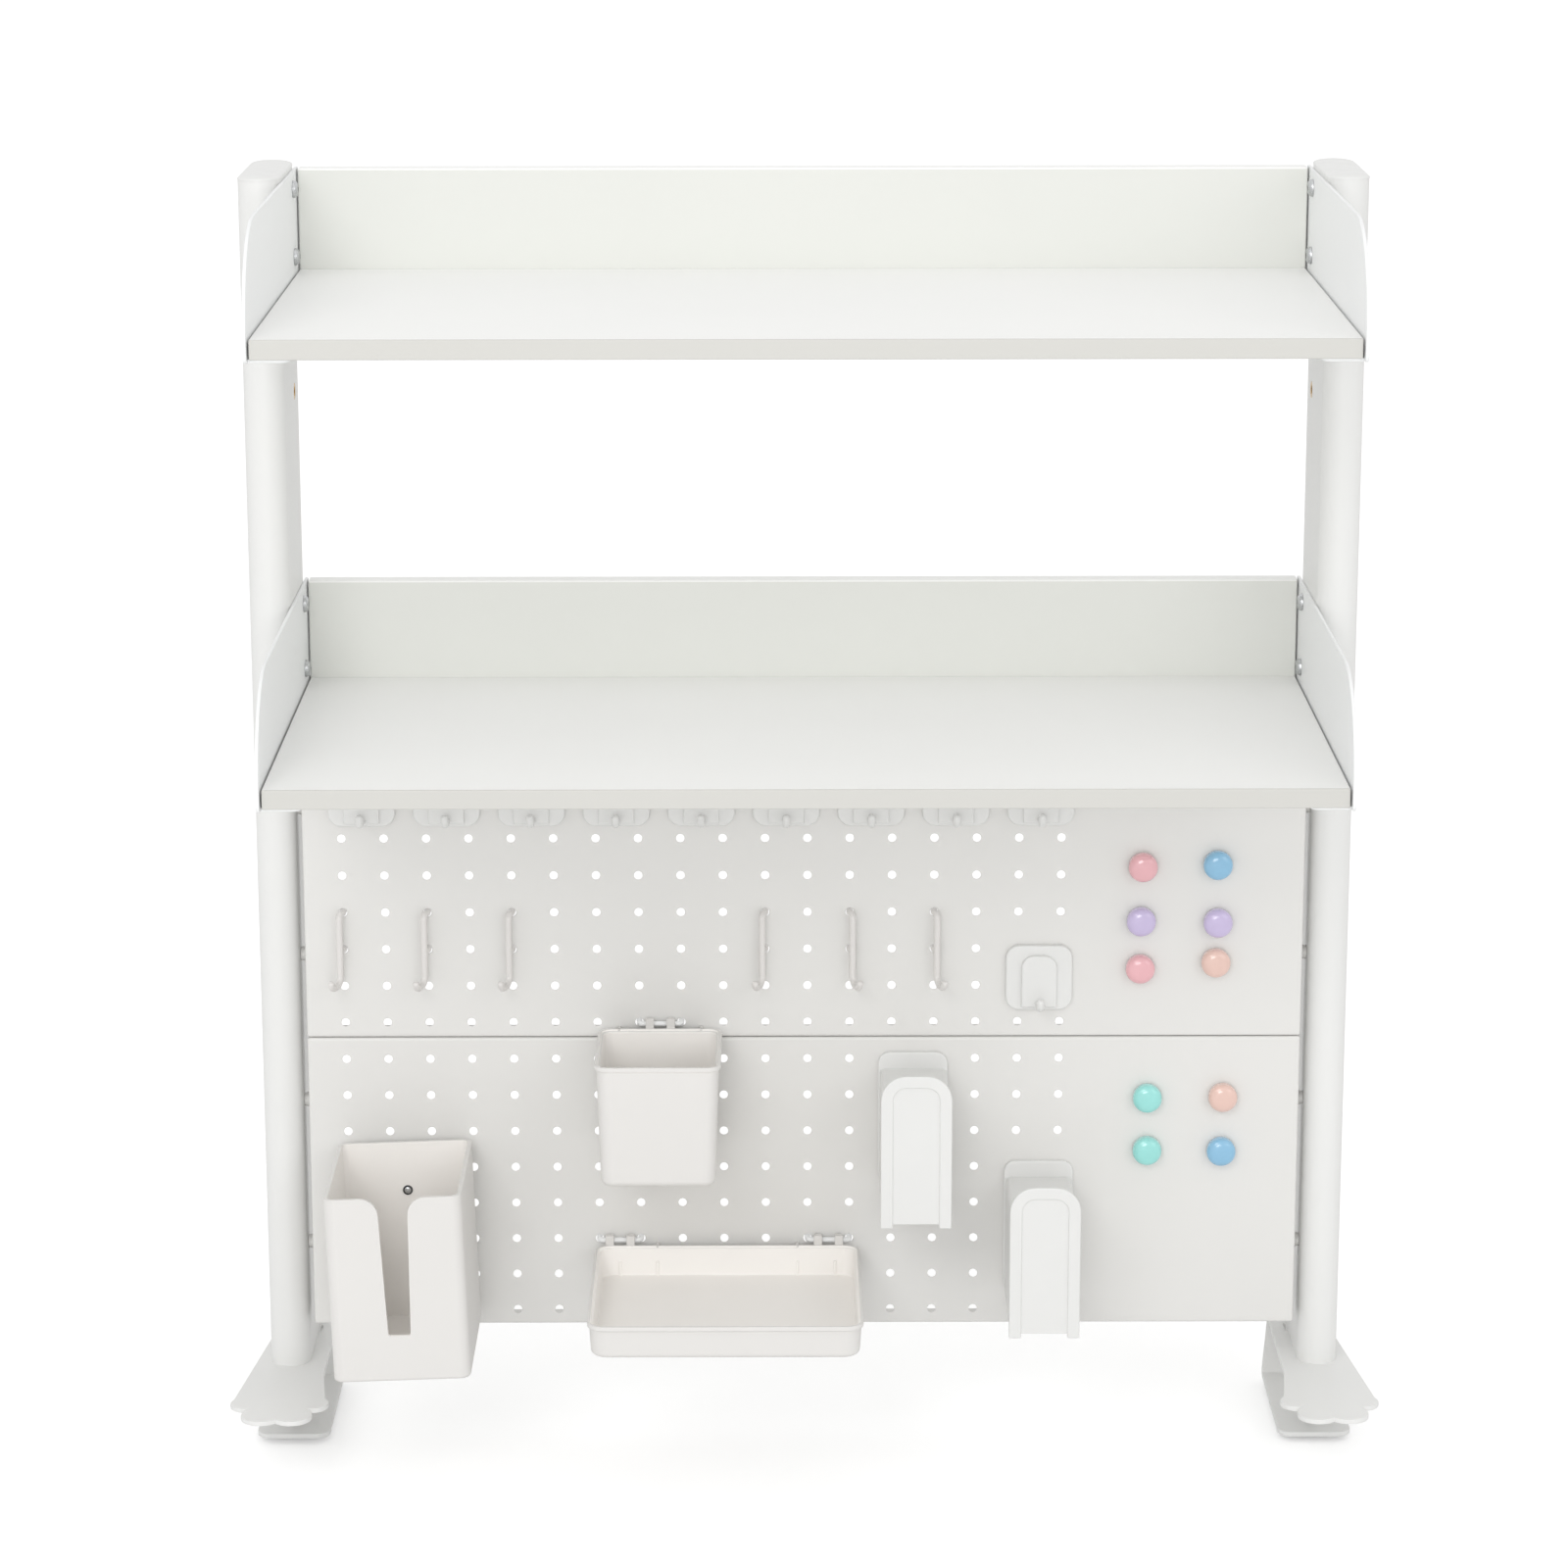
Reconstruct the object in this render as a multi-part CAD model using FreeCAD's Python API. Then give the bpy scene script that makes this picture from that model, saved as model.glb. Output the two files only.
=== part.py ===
"""Desk-clamp pegboard organizer: two posts, two railed shelves, two pegboards and their hooks and holders.

Frame, mm: X to the user's right, Y away from the user, Z up. X = 0 is midway between the posts, Y = 0 is the
front face of the pegboards and Z = 0 is the desk top, the underside of the clamps' top plates.
Small round features are regular polygons, so that the pattern of holes and hooks stays light.
"""

import FreeCAD, Part
import math
import os

os.makedirs("parts", exist_ok=True)
V = FreeCAD.Vector

# ---- Posts: flat-oval steel tube ----
clear_width = 600.0  # between the posts' inner faces
post_width = 24.0
post_depth = 95.0
post_wall = 1.5
post_rise = 2.0  # above the top shelf's rear panel
bore_sides = 7  # facets of each half circle inside the tube
cap_overhang = 0.6
cap_height = 2.8
cap_crown = 1.8  # height of the cap's sloped upper part
cap_slope = 4.5  # how far the crown's slope runs in from the cap's edge
cap_skirt_depth = 8.0
plug_height = 14.0
plug_clearance = 0.1
base_screw_radius = 2.5
base_screw_length = 15.0
base_screw_head_radius = 4.6
base_screw_head_height = 2.2
base_screw_inset = 26.0  # from each end of the post's oval

# ---- Shelves ----
top_shelf_height = 659.0
lower_shelf_height = 412.0
shelf_thickness = 11.0
shelf_depth = 283.0
shelf_edge_bevel = 0.8
panel_set_back = 2.0  # the rear panels stand this far behind the posts
panel_thickness = 12.0
panel_rise = 59.5  # above the shelf's upper face
side_sheet = 2.0
side_gap = 1.0  # between a side plate and the shelf's end
side_front_overhang = 3.0
side_corner_radius = 60.0
side_toe_radius = 5.0
flange_width = 22.0
flange_setback = 4.0

# ---- Bolts, screws and thread inserts ----
bolt_depth = 65.0  # Y of every shelf bolt
bolt_low_rise = 10.0
bolt_high_rise = 49.5
bolt_radius = 3.0
bolt_length = 12.0
bolt_head_radius = 5.2
bolt_head_height = 3.2
bolt_head_top = 0.6  # radius of the head's flat top, as a share of its foot
bolt_head_sides = 8
insert_radius = 5.0
small_sides = 6  # facets of bolts, screws and their holes
screw_bore_sides = 4
insert_length = 10.0
spare_insert_height = 589.5
screw_radius = 2.0
screw_length = 9.0
screw_head_radius = 3.8
screw_head_height = 2.0

# ---- Pegboards ----
board_bottom = 30.2
board_height = 180.6
board_seam = 0.4
board_side_gap = 5.5
board_sheet = 1.0
board_fold = 22.0
hole_radius = 2.5
hole_sides = 4
hole_pitch_x = 25.0
hole_pitch_z = 22.6
hole_columns = 18
hole_rows = 8
first_column_inset = 27.1  # from the left post's inner face
first_row_rise = 9.2
board_screw_low = 47.3  # above each board's lower edge
board_screw_high = 137.3
boss_radius = 4.6  # stand-off boss on the board's folded side

# ---- Desk clamps ----
clamp_sheet = 3.0
jaw_opening = 35.0
clamp_back = 88.6
clamp_inner_reach = 10.0
clamp_waist = -13.0
clamp_flare = 5.0
clamp_flare_front = -54.0
clamp_outer_lobe = 19.0
clamp_outer_lobe_y = -60.0
clamp_outer_lobe_radius = 10.5
clamp_front_lobe = 9.0
clamp_front_lobe_y = -79.0
clamp_front_lobe_radius = 12.0
lobe_sides = 14
lower_jaw_front = -15.0
lower_jaw_inner = 12.5
lower_jaw_width = 44.0
lower_jaw_corner = 8.0
clamp_screw_inset = 9.5  # outward from the post's inner face
slit_width = 1.2
slit_length = 12.0
slit_centre = 65.0
clamp_screw_y = 6.6
clamp_screw_radius = 3.0
clamp_bore_sides = 8
clamp_screw_head_radius = 5.5
clamp_screw_head_height = 3.2
clamp_screw_socket = 1.8
foot_rest_gap = 4.0
foot_radius = 11.0
foot_disc = 3.0
foot_boss_radius = 5.6
foot_boss = 5.0
foot_socket_depth = 4.0
running_gap = 0.06

# ---- Hooks that plug into the pegboards ----
seat_gap = 0.2
peg_radius = 2.2
peg_reach = 6.0  # behind the sheet
peg_sides = 5
plate_hook_width = 39.5
plate_hook_height = 39.6
plate_hook_thickness = 3.0
plate_hook_corner = 8.0
plate_hook_peg_drop = 2.4  # from the plate's top edge to its pegs
arch_half_width = 10.5
arch_drop = 5.8
arch_height = 31.6
arch_thickness = 2.4
arch_shoulder = 4.7  # of each sloped upper corner
plate_hook_reach = 17.0
plate_hook_rise = 9.0
plate_hook_rod = 4.6  # square rod
long_hook_wire = 2.0
wire_sides = 5
long_hook_stand = 6.0
long_hook_drop = 42.4  # from the upper peg to the lowest point
long_hook_reach = 20.0  # from the board to the tip, as the stand is to the bar
long_hook_rise = 6.5
long_hook_bend = 4.5  # of the curl's corners
long_hook_turn = 18.0  # degrees that each hook swings to its side
hanger_wire = 1.6
hanger_stand = 3.2

# ---- Pen cup ----
cup_width = 73.5
cup_depth = 80.0
cup_height = 74.0
cup_rib_share = 0.6  # how far down the ribs behind the cup come, as a share of its height
cup_taper = 2.2
cup_wall = 2.2
cup_corner = 9.0
cup_gap = 6.0  # behind the cup
cup_rim_drop = 2.0  # from the hanger's bar to the cup's rim
rim_height = 3.0
rim_overhang = 1.2
rib_thickness = 1.6
root_depth = 1.0  # how far a rib or lug runs into its holder's wall
cup_rib_spread = 48.8
lug_width = 5.0
lug_thickness = 2.0

# ---- Tray ----
tray_width = 159.0
tray_depth = 141.0
tray_height = 20.0
tray_rib_share = 0.8
tray_wall = 2.2
tray_corner = 11.0
tray_taper = 1.0
tray_offset = 1.9
tray_rim_drop = 2.2
tray_rib_spread = 84.0
tray_inner_rib_spread = 104.0
tray_inner_rib_rise = 9.0
tray_inner_rib_depth = 1.5

# ---- Tissue box ----
box_centre_x = -234.5
box_bottom = 36.0
box_width = 80.0
box_depth = 106.0
box_height = 112.0
box_wall = 2.4
box_corner = 6.0
box_lean = 2.0  # degrees
box_gap = 5.0
slot_top_half = 8.6
slot_bottom_half = 6.5
slot_flare_radius = 10.5  # of the rim where it turns down into the slot
slot_flare_steps = 3
slot_corner = 1.5
slot_floor_rise = 28.0
rivet_rise = 82.0
rivet_radius = 2.2
rivet_hole_sides = 8
rivet_head_radius = 3.6
rivet_head_height = 1.2
box_magnet_radius = 16.0

# ---- Arch hangers ----
left_hanger_x = 65.0
left_hanger_top = 202.0
right_hanger_x = 140.7
right_hanger_top = 133.9
hanger_width = 41.5
hanger_height = 84.0
hanger_reach = 80.0
hanger_wall = 3.0
hanger_corner = 7.0
hanger_saddle_drop = 10.0
hanger_lip = 19.0
hanger_arch_corner = 15.0
hanger_recess = 1.0
hanger_recess_margin = 7.2
hanger_leg = 2.5
hanger_side_inset = 1.0  # of the saddle from the sides of the plates

# ---- Magnets ----
magnet_radius = 8.8
magnet_skirt = 3.6
magnet_dome = 4.4
magnet_turn_rise = 0.6  # where the dome turns in, as a share of its height
magnet_turn_radius = 0.78  # and its radius there, as a share of the magnet's
magnet_top_radius = 0.35
magnet_sides = 10
magnet_places = (
    (200.3, 316.0), (244.5, 317.2), (199.7, 282.7), (245.2, 281.8), (199.6, 253.6),
    (244.4, 257.3), (205.2, 173.3), (250.3, 173.6), (205.5, 140.4), (249.9, 139.8),
)

# ---- Where the hooks plug in: (board, column, row), counted from the left and from the board's bottom row ----
long_hook_columns = (0, 2, 4, 10, 12, 14)
plate_hook_seats = [("upper", 2 * k, 7) for k in range(9)] + [("upper", 16, 2)]
right_swung_columns = (12, 14)  # the other long hooks swing to the left
long_hook_seats = [("upper", column, 3, 1 if column in right_swung_columns else -1) for column in long_hook_columns]
cup_seat = ("upper", 7, 0)
tray_left_seat = ("lower", 6, 2)
tray_right_seat = ("lower", 11, 2)

# ---- Worked out from the sizes above ----
post_inner = clear_width / 2
post_outer = post_inner + post_width
post_centre = post_inner + post_width / 2
post_foot = clamp_sheet
post_top = top_shelf_height + panel_rise + post_rise
post_height = post_top - post_foot
wood_half_width = post_inner - side_sheet - side_gap
shelf_back = post_depth + panel_set_back - panel_thickness
shelf_front = shelf_back - shelf_depth
board_half_width = post_inner - board_side_gap
board_bottoms = {"lower": board_bottom, "upper": board_bottom + board_height + board_seam}
jaw_floor = -jaw_opening
foot_top = -foot_rest_gap
past = 1.0  # how far a cutting tool runs past the surface it cuts


# ---------------------------------------------------------------- shape helpers
def block(x0, x1, y0, y1, z0, z1):
    return Part.makeBox(x1 - x0, y1 - y0, z1 - z0, V(x0, y0, z0))


def fused(shapes):
    shape = shapes[0].multiFuse(shapes[1:])
    return shape.removeSplitter()


def face(points):
    return Part.Face(Part.makePolygon(points + [points[0]]))


def extruded(points, direction):
    return face(points).extrude(direction)


def skin(rings):
    """Closed solid over rings of points, each ring with as many points as the next."""
    faces = [face(rings[0]), face(rings[-1])]
    for near, far in zip(rings, rings[1:]):
        for i in range(len(near)):
            j = (i + 1) % len(near)
            faces.append(face([near[i], near[j], far[j], far[i]]))
    solid = Part.Solid(Part.Shell(faces))
    if solid.Volume < 0:
        solid.reverse()
    return solid


def polygon(sides, outer=None, inner=None, turn=0.5):
    """Corners of a regular polygon, by the circle round it or the circle inside it."""
    radius = outer if outer else inner / math.cos(math.pi / sides)
    angles = [2 * math.pi * (i + turn) / sides for i in range(sides)]
    return [(radius * math.cos(a), radius * math.sin(a)) for a in angles]


def placed(axis, centre, along, pairs):
    """Pairs (u, v) laid square to an axis through centre, at a place along it."""
    a, b = centre
    if axis == "x":
        return [V(along, a + u, b + v) for u, v in pairs]
    if axis == "y":
        return [V(a + u, along, b + v) for u, v in pairs]
    return [V(a + u, b + v, along) for u, v in pairs]


def bar(axis, centre, start, end, pairs):
    return skin([placed(axis, centre, start, pairs), placed(axis, centre, end, pairs)])


def turned(axis, centre, profile, sides):
    """Turned piece from (place along the axis, radius) pairs, its surface in flat facets."""
    rings = [placed(axis, centre, along, polygon(sides, outer=radius)) for along, radius in profile]
    return skin(rings)


def rounded(width, height, radius, steps=2):
    """Corners of a centred rectangle with rounded corners."""
    pairs = []
    for k, (su, sv) in enumerate(((1, 1), (-1, 1), (-1, -1), (1, -1))):
        cu = su * (width / 2 - radius)
        cv = sv * (height / 2 - radius)
        for i in range(steps + 1):
            a = math.pi / 2 * (k + i / steps)
            pairs.append((cu + radius * math.cos(a), cv + radius * math.sin(a)))
    return pairs


def tube(path, radius, sides=6):
    """Wire with mitred bends along a path of points."""
    direction = (path[1] - path[0]).normalize()
    across = direction.cross(V(1, 0, 0) if abs(direction.x) < 0.9 else V(0, 0, 1)).normalize()
    other = direction.cross(across)
    ring = [path[0] + across * u + other * v for u, v in polygon(sides, outer=radius)]
    rings = [ring]
    for i in range(1, len(path)):
        direction = (path[i] - path[i - 1]).normalize()
        following = (path[i + 1] - path[i]).normalize() if i + 1 < len(path) else direction
        mitre = direction + following
        ring = [p + direction * ((path[i] - p).dot(mitre) / direction.dot(mitre)) for p in ring]
        rings.append(ring)
    return skin(rings)


def mirrored(shape):
    return shape.mirror(V(0, 0, 0), V(1, 0, 0))


def both_sides(shapes):
    return Part.makeCompound(shapes + [mirrored(s) for s in shapes])


def save(name, shape):
    shape.exportStep("parts/" + name + ".step")


def column_x(column):
    return -post_inner + first_column_inset + column * hole_pitch_x


def row_z(board, row):
    return board_bottoms[board] + first_row_rise + row * hole_pitch_z


# ---------------------------------------------------------------- posts
def oval_face(inset, height):
    """Flat oval across the right post, drawn in by an inset."""
    radius = post_width / 2 - inset
    near = inset + radius
    far = post_depth - inset - radius
    left = post_centre - radius
    right = post_centre + radius
    front = Part.Arc(V(left, near, height), V(post_centre, inset, height), V(right, near, height))
    back = Part.Arc(V(right, far, height), V(post_centre, post_depth - inset, height), V(left, far, height))
    lines = [
        Part.LineSegment(V(right, near, height), V(right, far, height)),
        Part.LineSegment(V(left, far, height), V(left, near, height)),
    ]
    return Part.Face(Part.Wire([front.toShape(), lines[0].toShape(), back.toShape(), lines[1].toShape()]))


def oval_points(inset, height):
    """The same flat oval in flat facets, for pieces and surfaces that need no true arc."""
    radius = post_width / 2 - inset
    points = []
    for end, start in ((post_depth - post_width / 2, 0), (post_width / 2, math.pi)):
        for i in range(bore_sides + 1):
            angle = start + math.pi * i / bore_sides
            points.append(V(post_centre + radius * math.cos(angle), end + radius * math.sin(angle), height))
    return points


def bolt_heights():
    tops = (top_shelf_height, lower_shelf_height)
    return [top + rise for top in tops for rise in (bolt_low_rise, bolt_high_rise)]


def board_screw_heights():
    return [bottom + rise for bottom in board_bottoms.values() for rise in (board_screw_low, board_screw_high)]


def board_screw_y():
    """The bosses sit where the post's side is flat."""
    return post_width / 2 + boss_radius


def right_post():
    shell = oval_face(0, post_foot).extrude(V(0, 0, post_height))
    hollow = extruded(oval_points(post_wall, post_foot), V(0, 0, post_height))
    through = (post_inner - past, post_inner + post_wall + past)
    holes = [bolt_bore(z, *through) for z in bolt_heights()]
    holes += [screw_bore((board_screw_y(), z), *through) for z in board_screw_heights()]
    holes.append(bar("x", (bolt_depth, spare_insert_height), *through, polygon(small_sides, outer=insert_radius)))
    return shell.cut(hollow).cut(Part.makeCompound(holes))


def right_cap():
    crown_foot = post_top + cap_height - cap_crown
    dome = skin([
        oval_points(-cap_overhang, post_top),
        oval_points(-cap_overhang, crown_foot),
        oval_points(cap_slope, post_top + cap_height),
    ])
    skirt_gap = post_wall + plug_clearance
    skirt = block(
        post_inner + skirt_gap, post_outer - skirt_gap,
        post_width / 2, post_depth - post_width / 2,
        post_top - cap_skirt_depth, post_top,
    )
    return fused([dome, skirt])


def base_screw_places():
    return [(post_centre, base_screw_inset), (post_centre, post_depth - base_screw_inset)]


def right_foot_plug():
    wall = post_wall + plug_clearance
    plug = block(
        post_inner + wall, post_outer - wall,
        post_width / 2, post_depth - post_width / 2,
        post_foot, post_foot + plug_height,
    )
    holes = [
        bar("z", place, post_foot - past, post_foot + plug_height + past, polygon(small_sides, outer=base_screw_radius))
        for place in base_screw_places()
    ]
    return plug.cut(Part.makeCompound(holes))


def base_screw(place, play=0.0):
    profile = [
        (-play, base_screw_head_radius + play),
        (base_screw_head_height, base_screw_radius + play),
        (base_screw_length + play, base_screw_radius + play),
    ]
    return turned("z", place, profile, small_sides)


def spare_insert():
    """Threaded insert for a shelf at another height."""
    centre = (bolt_depth, spare_insert_height)
    outside = bar("x", centre, post_inner, post_inner + insert_length, polygon(small_sides, outer=insert_radius))
    start = V(post_inner - past, bolt_depth, spare_insert_height)
    return outside.cut(Part.makeCylinder(bolt_radius, insert_length + 2 * past, start, V(1, 0, 0)))


def bolt_bore(height, start, end):
    return bar("x", (bolt_depth, height), start, end, polygon(small_sides, outer=bolt_radius))


def screw_bore(centre, start, end):
    return bar("x", centre, start, end, polygon(screw_bore_sides, outer=screw_radius))


# ---------------------------------------------------------------- shelves
def side_outline():
    """Right side plate in the YZ plane, as a wire: a large arc at its upper front corner, a small one below."""
    front = shelf_front - side_front_overhang
    back = shelf_back + panel_thickness
    bottom = -shelf_thickness - side_sheet
    r, toe = side_corner_radius, side_toe_radius
    slant = math.sqrt(0.5)
    x = post_inner

    def line(a, b):
        return Part.LineSegment(V(x, *a), V(x, *b)).toShape()

    def arc(a, m, b):
        return Part.Arc(V(x, *a), V(x, *m), V(x, *b)).toShape()

    return Part.Wire([
        line((back, bottom), (back, panel_rise)),
        line((back, panel_rise), (front + r, panel_rise)),
        arc(
            (front + r, panel_rise),
            (front + r - r * slant, panel_rise - r + r * slant),
            (front, panel_rise - r),
        ),
        line((front, panel_rise - r), (front, bottom + toe)),
        arc(
            (front, bottom + toe),
            (front + toe - toe * slant, bottom + toe - toe * slant),
            (front + toe, bottom),
        ),
        line((front + toe, bottom), (back, bottom)),
    ])


def right_side_plate(shelf_top):
    """Sheet-metal end of a shelf: an upright plate on the post and a flange under the shelf."""
    upright = Part.Face(side_outline()).extrude(V(-side_sheet, 0, 0))
    underside = -shelf_thickness
    flange = block(
        post_inner - side_sheet - flange_width, post_inner - side_sheet,
        shelf_front + flange_setback, shelf_back - flange_setback,
        underside - side_sheet, underside,
    )
    plate = fused([upright, flange])
    holes = [
        bolt_bore(rise, post_inner - side_sheet - past, post_inner + past)
        for rise in (bolt_low_rise, bolt_high_rise)
    ]
    plate = plate.cut(Part.makeCompound(holes))
    plate.translate(V(0, 0, shelf_top))
    return plate


def shelf_board(shelf_top):
    bevel = shelf_edge_bevel
    low = shelf_top - shelf_thickness
    section = [
        V(-wood_half_width, shelf_back, low),
        V(-wood_half_width, shelf_front + bevel, low),
        V(-wood_half_width, shelf_front, low + bevel),
        V(-wood_half_width, shelf_front, shelf_top - bevel),
        V(-wood_half_width, shelf_front + bevel, shelf_top),
        V(-wood_half_width, shelf_back, shelf_top),
    ]
    return extruded(section, V(2 * wood_half_width, 0, 0))


def back_panel(shelf_top):
    return block(
        -wood_half_width, wood_half_width,
        shelf_back, shelf_back + panel_thickness,
        shelf_top - shelf_thickness, shelf_top + panel_rise,
    )


def shelf_bolt(height):
    face_x = post_inner - side_sheet
    head = bolt_head_height
    shaft = bolt_bore(height, face_x, face_x + bolt_length)
    cap = turned(
        "x", (bolt_depth, height),
        [(face_x, bolt_head_radius), (face_x - head, bolt_head_radius * bolt_head_top)],
        bolt_head_sides,
    )
    return fused([shaft, cap])


# ---------------------------------------------------------------- pegboards
def pegboard(board):
    """Sheet-steel tray with its open side to the back and a grid of peg holes through its front."""
    low = board_bottoms[board]
    high = low + board_height
    w = board_half_width
    outline = [V(-w, 0, low), V(w, 0, low), V(w, 0, high), V(-w, 0, high)]
    section = polygon(hole_sides, inner=hole_radius)
    holes = []
    for column in range(hole_columns):
        for row in range(hole_rows):
            corners = placed("y", (column_x(column), row_z(board, row)), 0, section)
            holes.append(face(corners))
    sheet = face(outline).cut(Part.makeCompound(holes)).Faces[0].extrude(V(0, board_sheet, 0))
    t = board_sheet
    rim = block(-w, w, t, board_fold, low, high).cut(
        block(-w + t, w - t, 0, board_fold + past, low + t, high - t)
    )
    seats = [(board_screw_y(), low + rise) for rise in (board_screw_low, board_screw_high)]
    bosses = [bar("x", seat, w, post_inner, polygon(small_sides, outer=boss_radius)) for seat in seats]
    bores = [screw_bore(seat, w - t - past, post_inner + past) for seat in seats]
    whole = fused([sheet, rim] + bosses + [mirrored(boss) for boss in bosses])
    return whole.cut(both_sides(bores))


def pegboard_screw(height):
    """Screw from inside the board's folded side, through its boss, into the post."""
    seat = board_half_width - board_sheet
    centre = (board_screw_y(), height)
    shaft = screw_bore(centre, seat, post_inner + screw_length)
    head = bar("x", centre, seat - screw_head_height, seat, polygon(small_sides, outer=screw_head_radius))
    return fused([shaft, head])


# ---------------------------------------------------------------- desk clamps
def clamp_screw_place():
    return (post_inner + clamp_screw_inset, clamp_screw_y)


def right_clamp_bracket():
    """One bent plate: a cloud-edged top plate under the post, a back and a lower jaw."""
    inner = post_inner - clamp_inner_reach
    t = clamp_sheet
    outline = [
        V(inner, clamp_back, 0),
        V(inner, clamp_waist, 0),
        V(inner - clamp_flare, clamp_flare_front, 0),
        V(post_centre - clamp_front_lobe, clamp_front_lobe_y, 0),
        V(post_centre + clamp_front_lobe, clamp_front_lobe_y, 0),
        V(post_centre + clamp_outer_lobe + clamp_front_lobe, clamp_flare_front, 0),
        V(post_outer, clamp_back - t, 0),
        V(post_outer, clamp_back, 0),
    ]
    pieces = [extruded(outline, V(0, 0, t))]
    lobes = (
        (clamp_outer_lobe, clamp_outer_lobe_y, clamp_outer_lobe_radius),
        (clamp_front_lobe, clamp_front_lobe_y, clamp_front_lobe_radius),
    )
    for offset, y, radius in lobes:
        for side in (-1, 1):
            pieces.append(bar("z", (post_centre + side * offset, y), 0, t, polygon(lobe_sides, outer=radius)))
    jaw_inner = post_inner - lower_jaw_inner
    jaw_outer = jaw_inner + lower_jaw_width
    back_section = [
        V(inner, clamp_back - t, 0),
        V(post_outer, clamp_back - t, 0),
        V(jaw_outer, clamp_back - t, jaw_floor - t),
        V(jaw_inner, clamp_back - t, jaw_floor - t),
    ]
    pieces.append(extruded(back_section, V(0, t, 0)))
    pieces.append(extruded(jaw_outline(jaw_inner, jaw_outer), V(0, 0, -t)))
    bracket = fused(pieces)
    slit_x = post_inner - slit_width
    cuts = [
        bar("z", clamp_screw_place(), jaw_floor - t - past, jaw_floor + past,
            polygon(clamp_bore_sides, inner=clamp_screw_radius + running_gap)),
        block(slit_x - slit_width / 2, slit_x + slit_width / 2,
              slit_centre - slit_length / 2, slit_centre + slit_length / 2, -past, t + past),
    ]
    cuts += [base_screw(place, play=running_gap) for place in base_screw_places()]
    return bracket.cut(Part.makeCompound(cuts))


def jaw_outline(inner, outer):
    """Lower jaw from above, with rounded front corners."""
    depth = clamp_back - lower_jaw_front
    centre_x = (inner + outer) / 2
    centre_y = (clamp_back + lower_jaw_front) / 2
    front = [(u, v) for u, v in rounded(outer - inner, depth, lower_jaw_corner, 3) if v < 0]
    pairs = [((outer - inner) / 2, depth / 2), ((inner - outer) / 2, depth / 2)] + front
    return placed("z", (centre_x, centre_y), jaw_floor, pairs)


def right_clamp_screw():
    """Screw with a low socket head under the lower jaw and its tip in the foot."""
    seat = jaw_floor - clamp_sheet - running_gap
    head_end = seat - clamp_screw_head_height
    tip = foot_top - foot_disc - foot_boss + foot_socket_depth - running_gap
    place = clamp_screw_place()
    profile = [
        (head_end, clamp_screw_head_radius),
        (seat, clamp_screw_head_radius),
        (seat, clamp_screw_radius),
        (tip, clamp_screw_radius),
    ]
    body = turned_steps("z", place, profile, 8)
    socket = bar("z", place, head_end - past, head_end + clamp_screw_socket, polygon(small_sides, outer=clamp_screw_radius))
    return body.cut(socket)


def turned_steps(axis, centre, profile, sides):
    """Stepped shaft: one facet drum for each pair of profile points of like radius."""
    drums = []
    for (start, radius), (end, same) in zip(profile[::2], profile[1::2]):
        drums.append(turned(axis, centre, [(start, radius), (end, same)], sides))
    return fused(drums)


def right_clamp_foot():
    """Swivel foot: a disc that presses on the desk's underside and a boss round the screw's tip."""
    place = clamp_screw_place()
    disc_low = foot_top - foot_disc
    boss_low = disc_low - foot_boss
    profile = [(boss_low, foot_boss_radius), (disc_low, foot_boss_radius), (disc_low, foot_radius), (foot_top, foot_radius)]
    body = turned_steps("z", place, profile, 10)
    socket = bar(
        "z", place, boss_low - past, boss_low + foot_socket_depth,
        polygon(clamp_bore_sides, inner=clamp_screw_radius + running_gap),
    )
    return body.cut(socket)


# ---------------------------------------------------------------- hooks
def peg(x, z, front):
    return bar("y", (x, z), front, board_sheet + peg_reach, polygon(peg_sides, outer=peg_radius))


def plate_hook(board, column, row):
    """Rounded plate on two pegs, with a raised arch and a hook at its foot."""
    z = row_z(board, row)
    x = column_x(column) + hole_pitch_x / 2
    back = -seat_gap
    front = back - plate_hook_thickness
    top = z + plate_hook_peg_drop
    middle = top - plate_hook_height / 2
    plate = bar("y", (x, middle), back, front, rounded(plate_hook_width, plate_hook_height, plate_hook_corner))
    arch_top = top - arch_drop
    arch_points = [
        (-arch_half_width, arch_top - arch_height),
        (arch_half_width, arch_top - arch_height),
        (arch_half_width, arch_top - arch_shoulder),
        (arch_half_width - arch_shoulder, arch_top),
        (-arch_half_width + arch_shoulder, arch_top),
        (-arch_half_width, arch_top - arch_shoulder),
    ]
    arch = bar("y", (x, 0), front, front - arch_thickness, arch_points)
    half_rod = plate_hook_rod / 2
    root = arch_top - arch_height + half_rod
    tip = front - plate_hook_reach + half_rod
    hook = tube(
        [
            V(x, front, root),
            V(x, tip + plate_hook_rod, root - half_rod / 2),
            V(x, tip, root + half_rod),
            V(x, tip, root - half_rod + plate_hook_rise),
        ],
        half_rod * math.sqrt(2), sides=4,
    )
    pegs = [peg(column_x(c), z, back) for c in (column, column + 1)]
    return fused([plate, arch, hook] + pegs)


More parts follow.
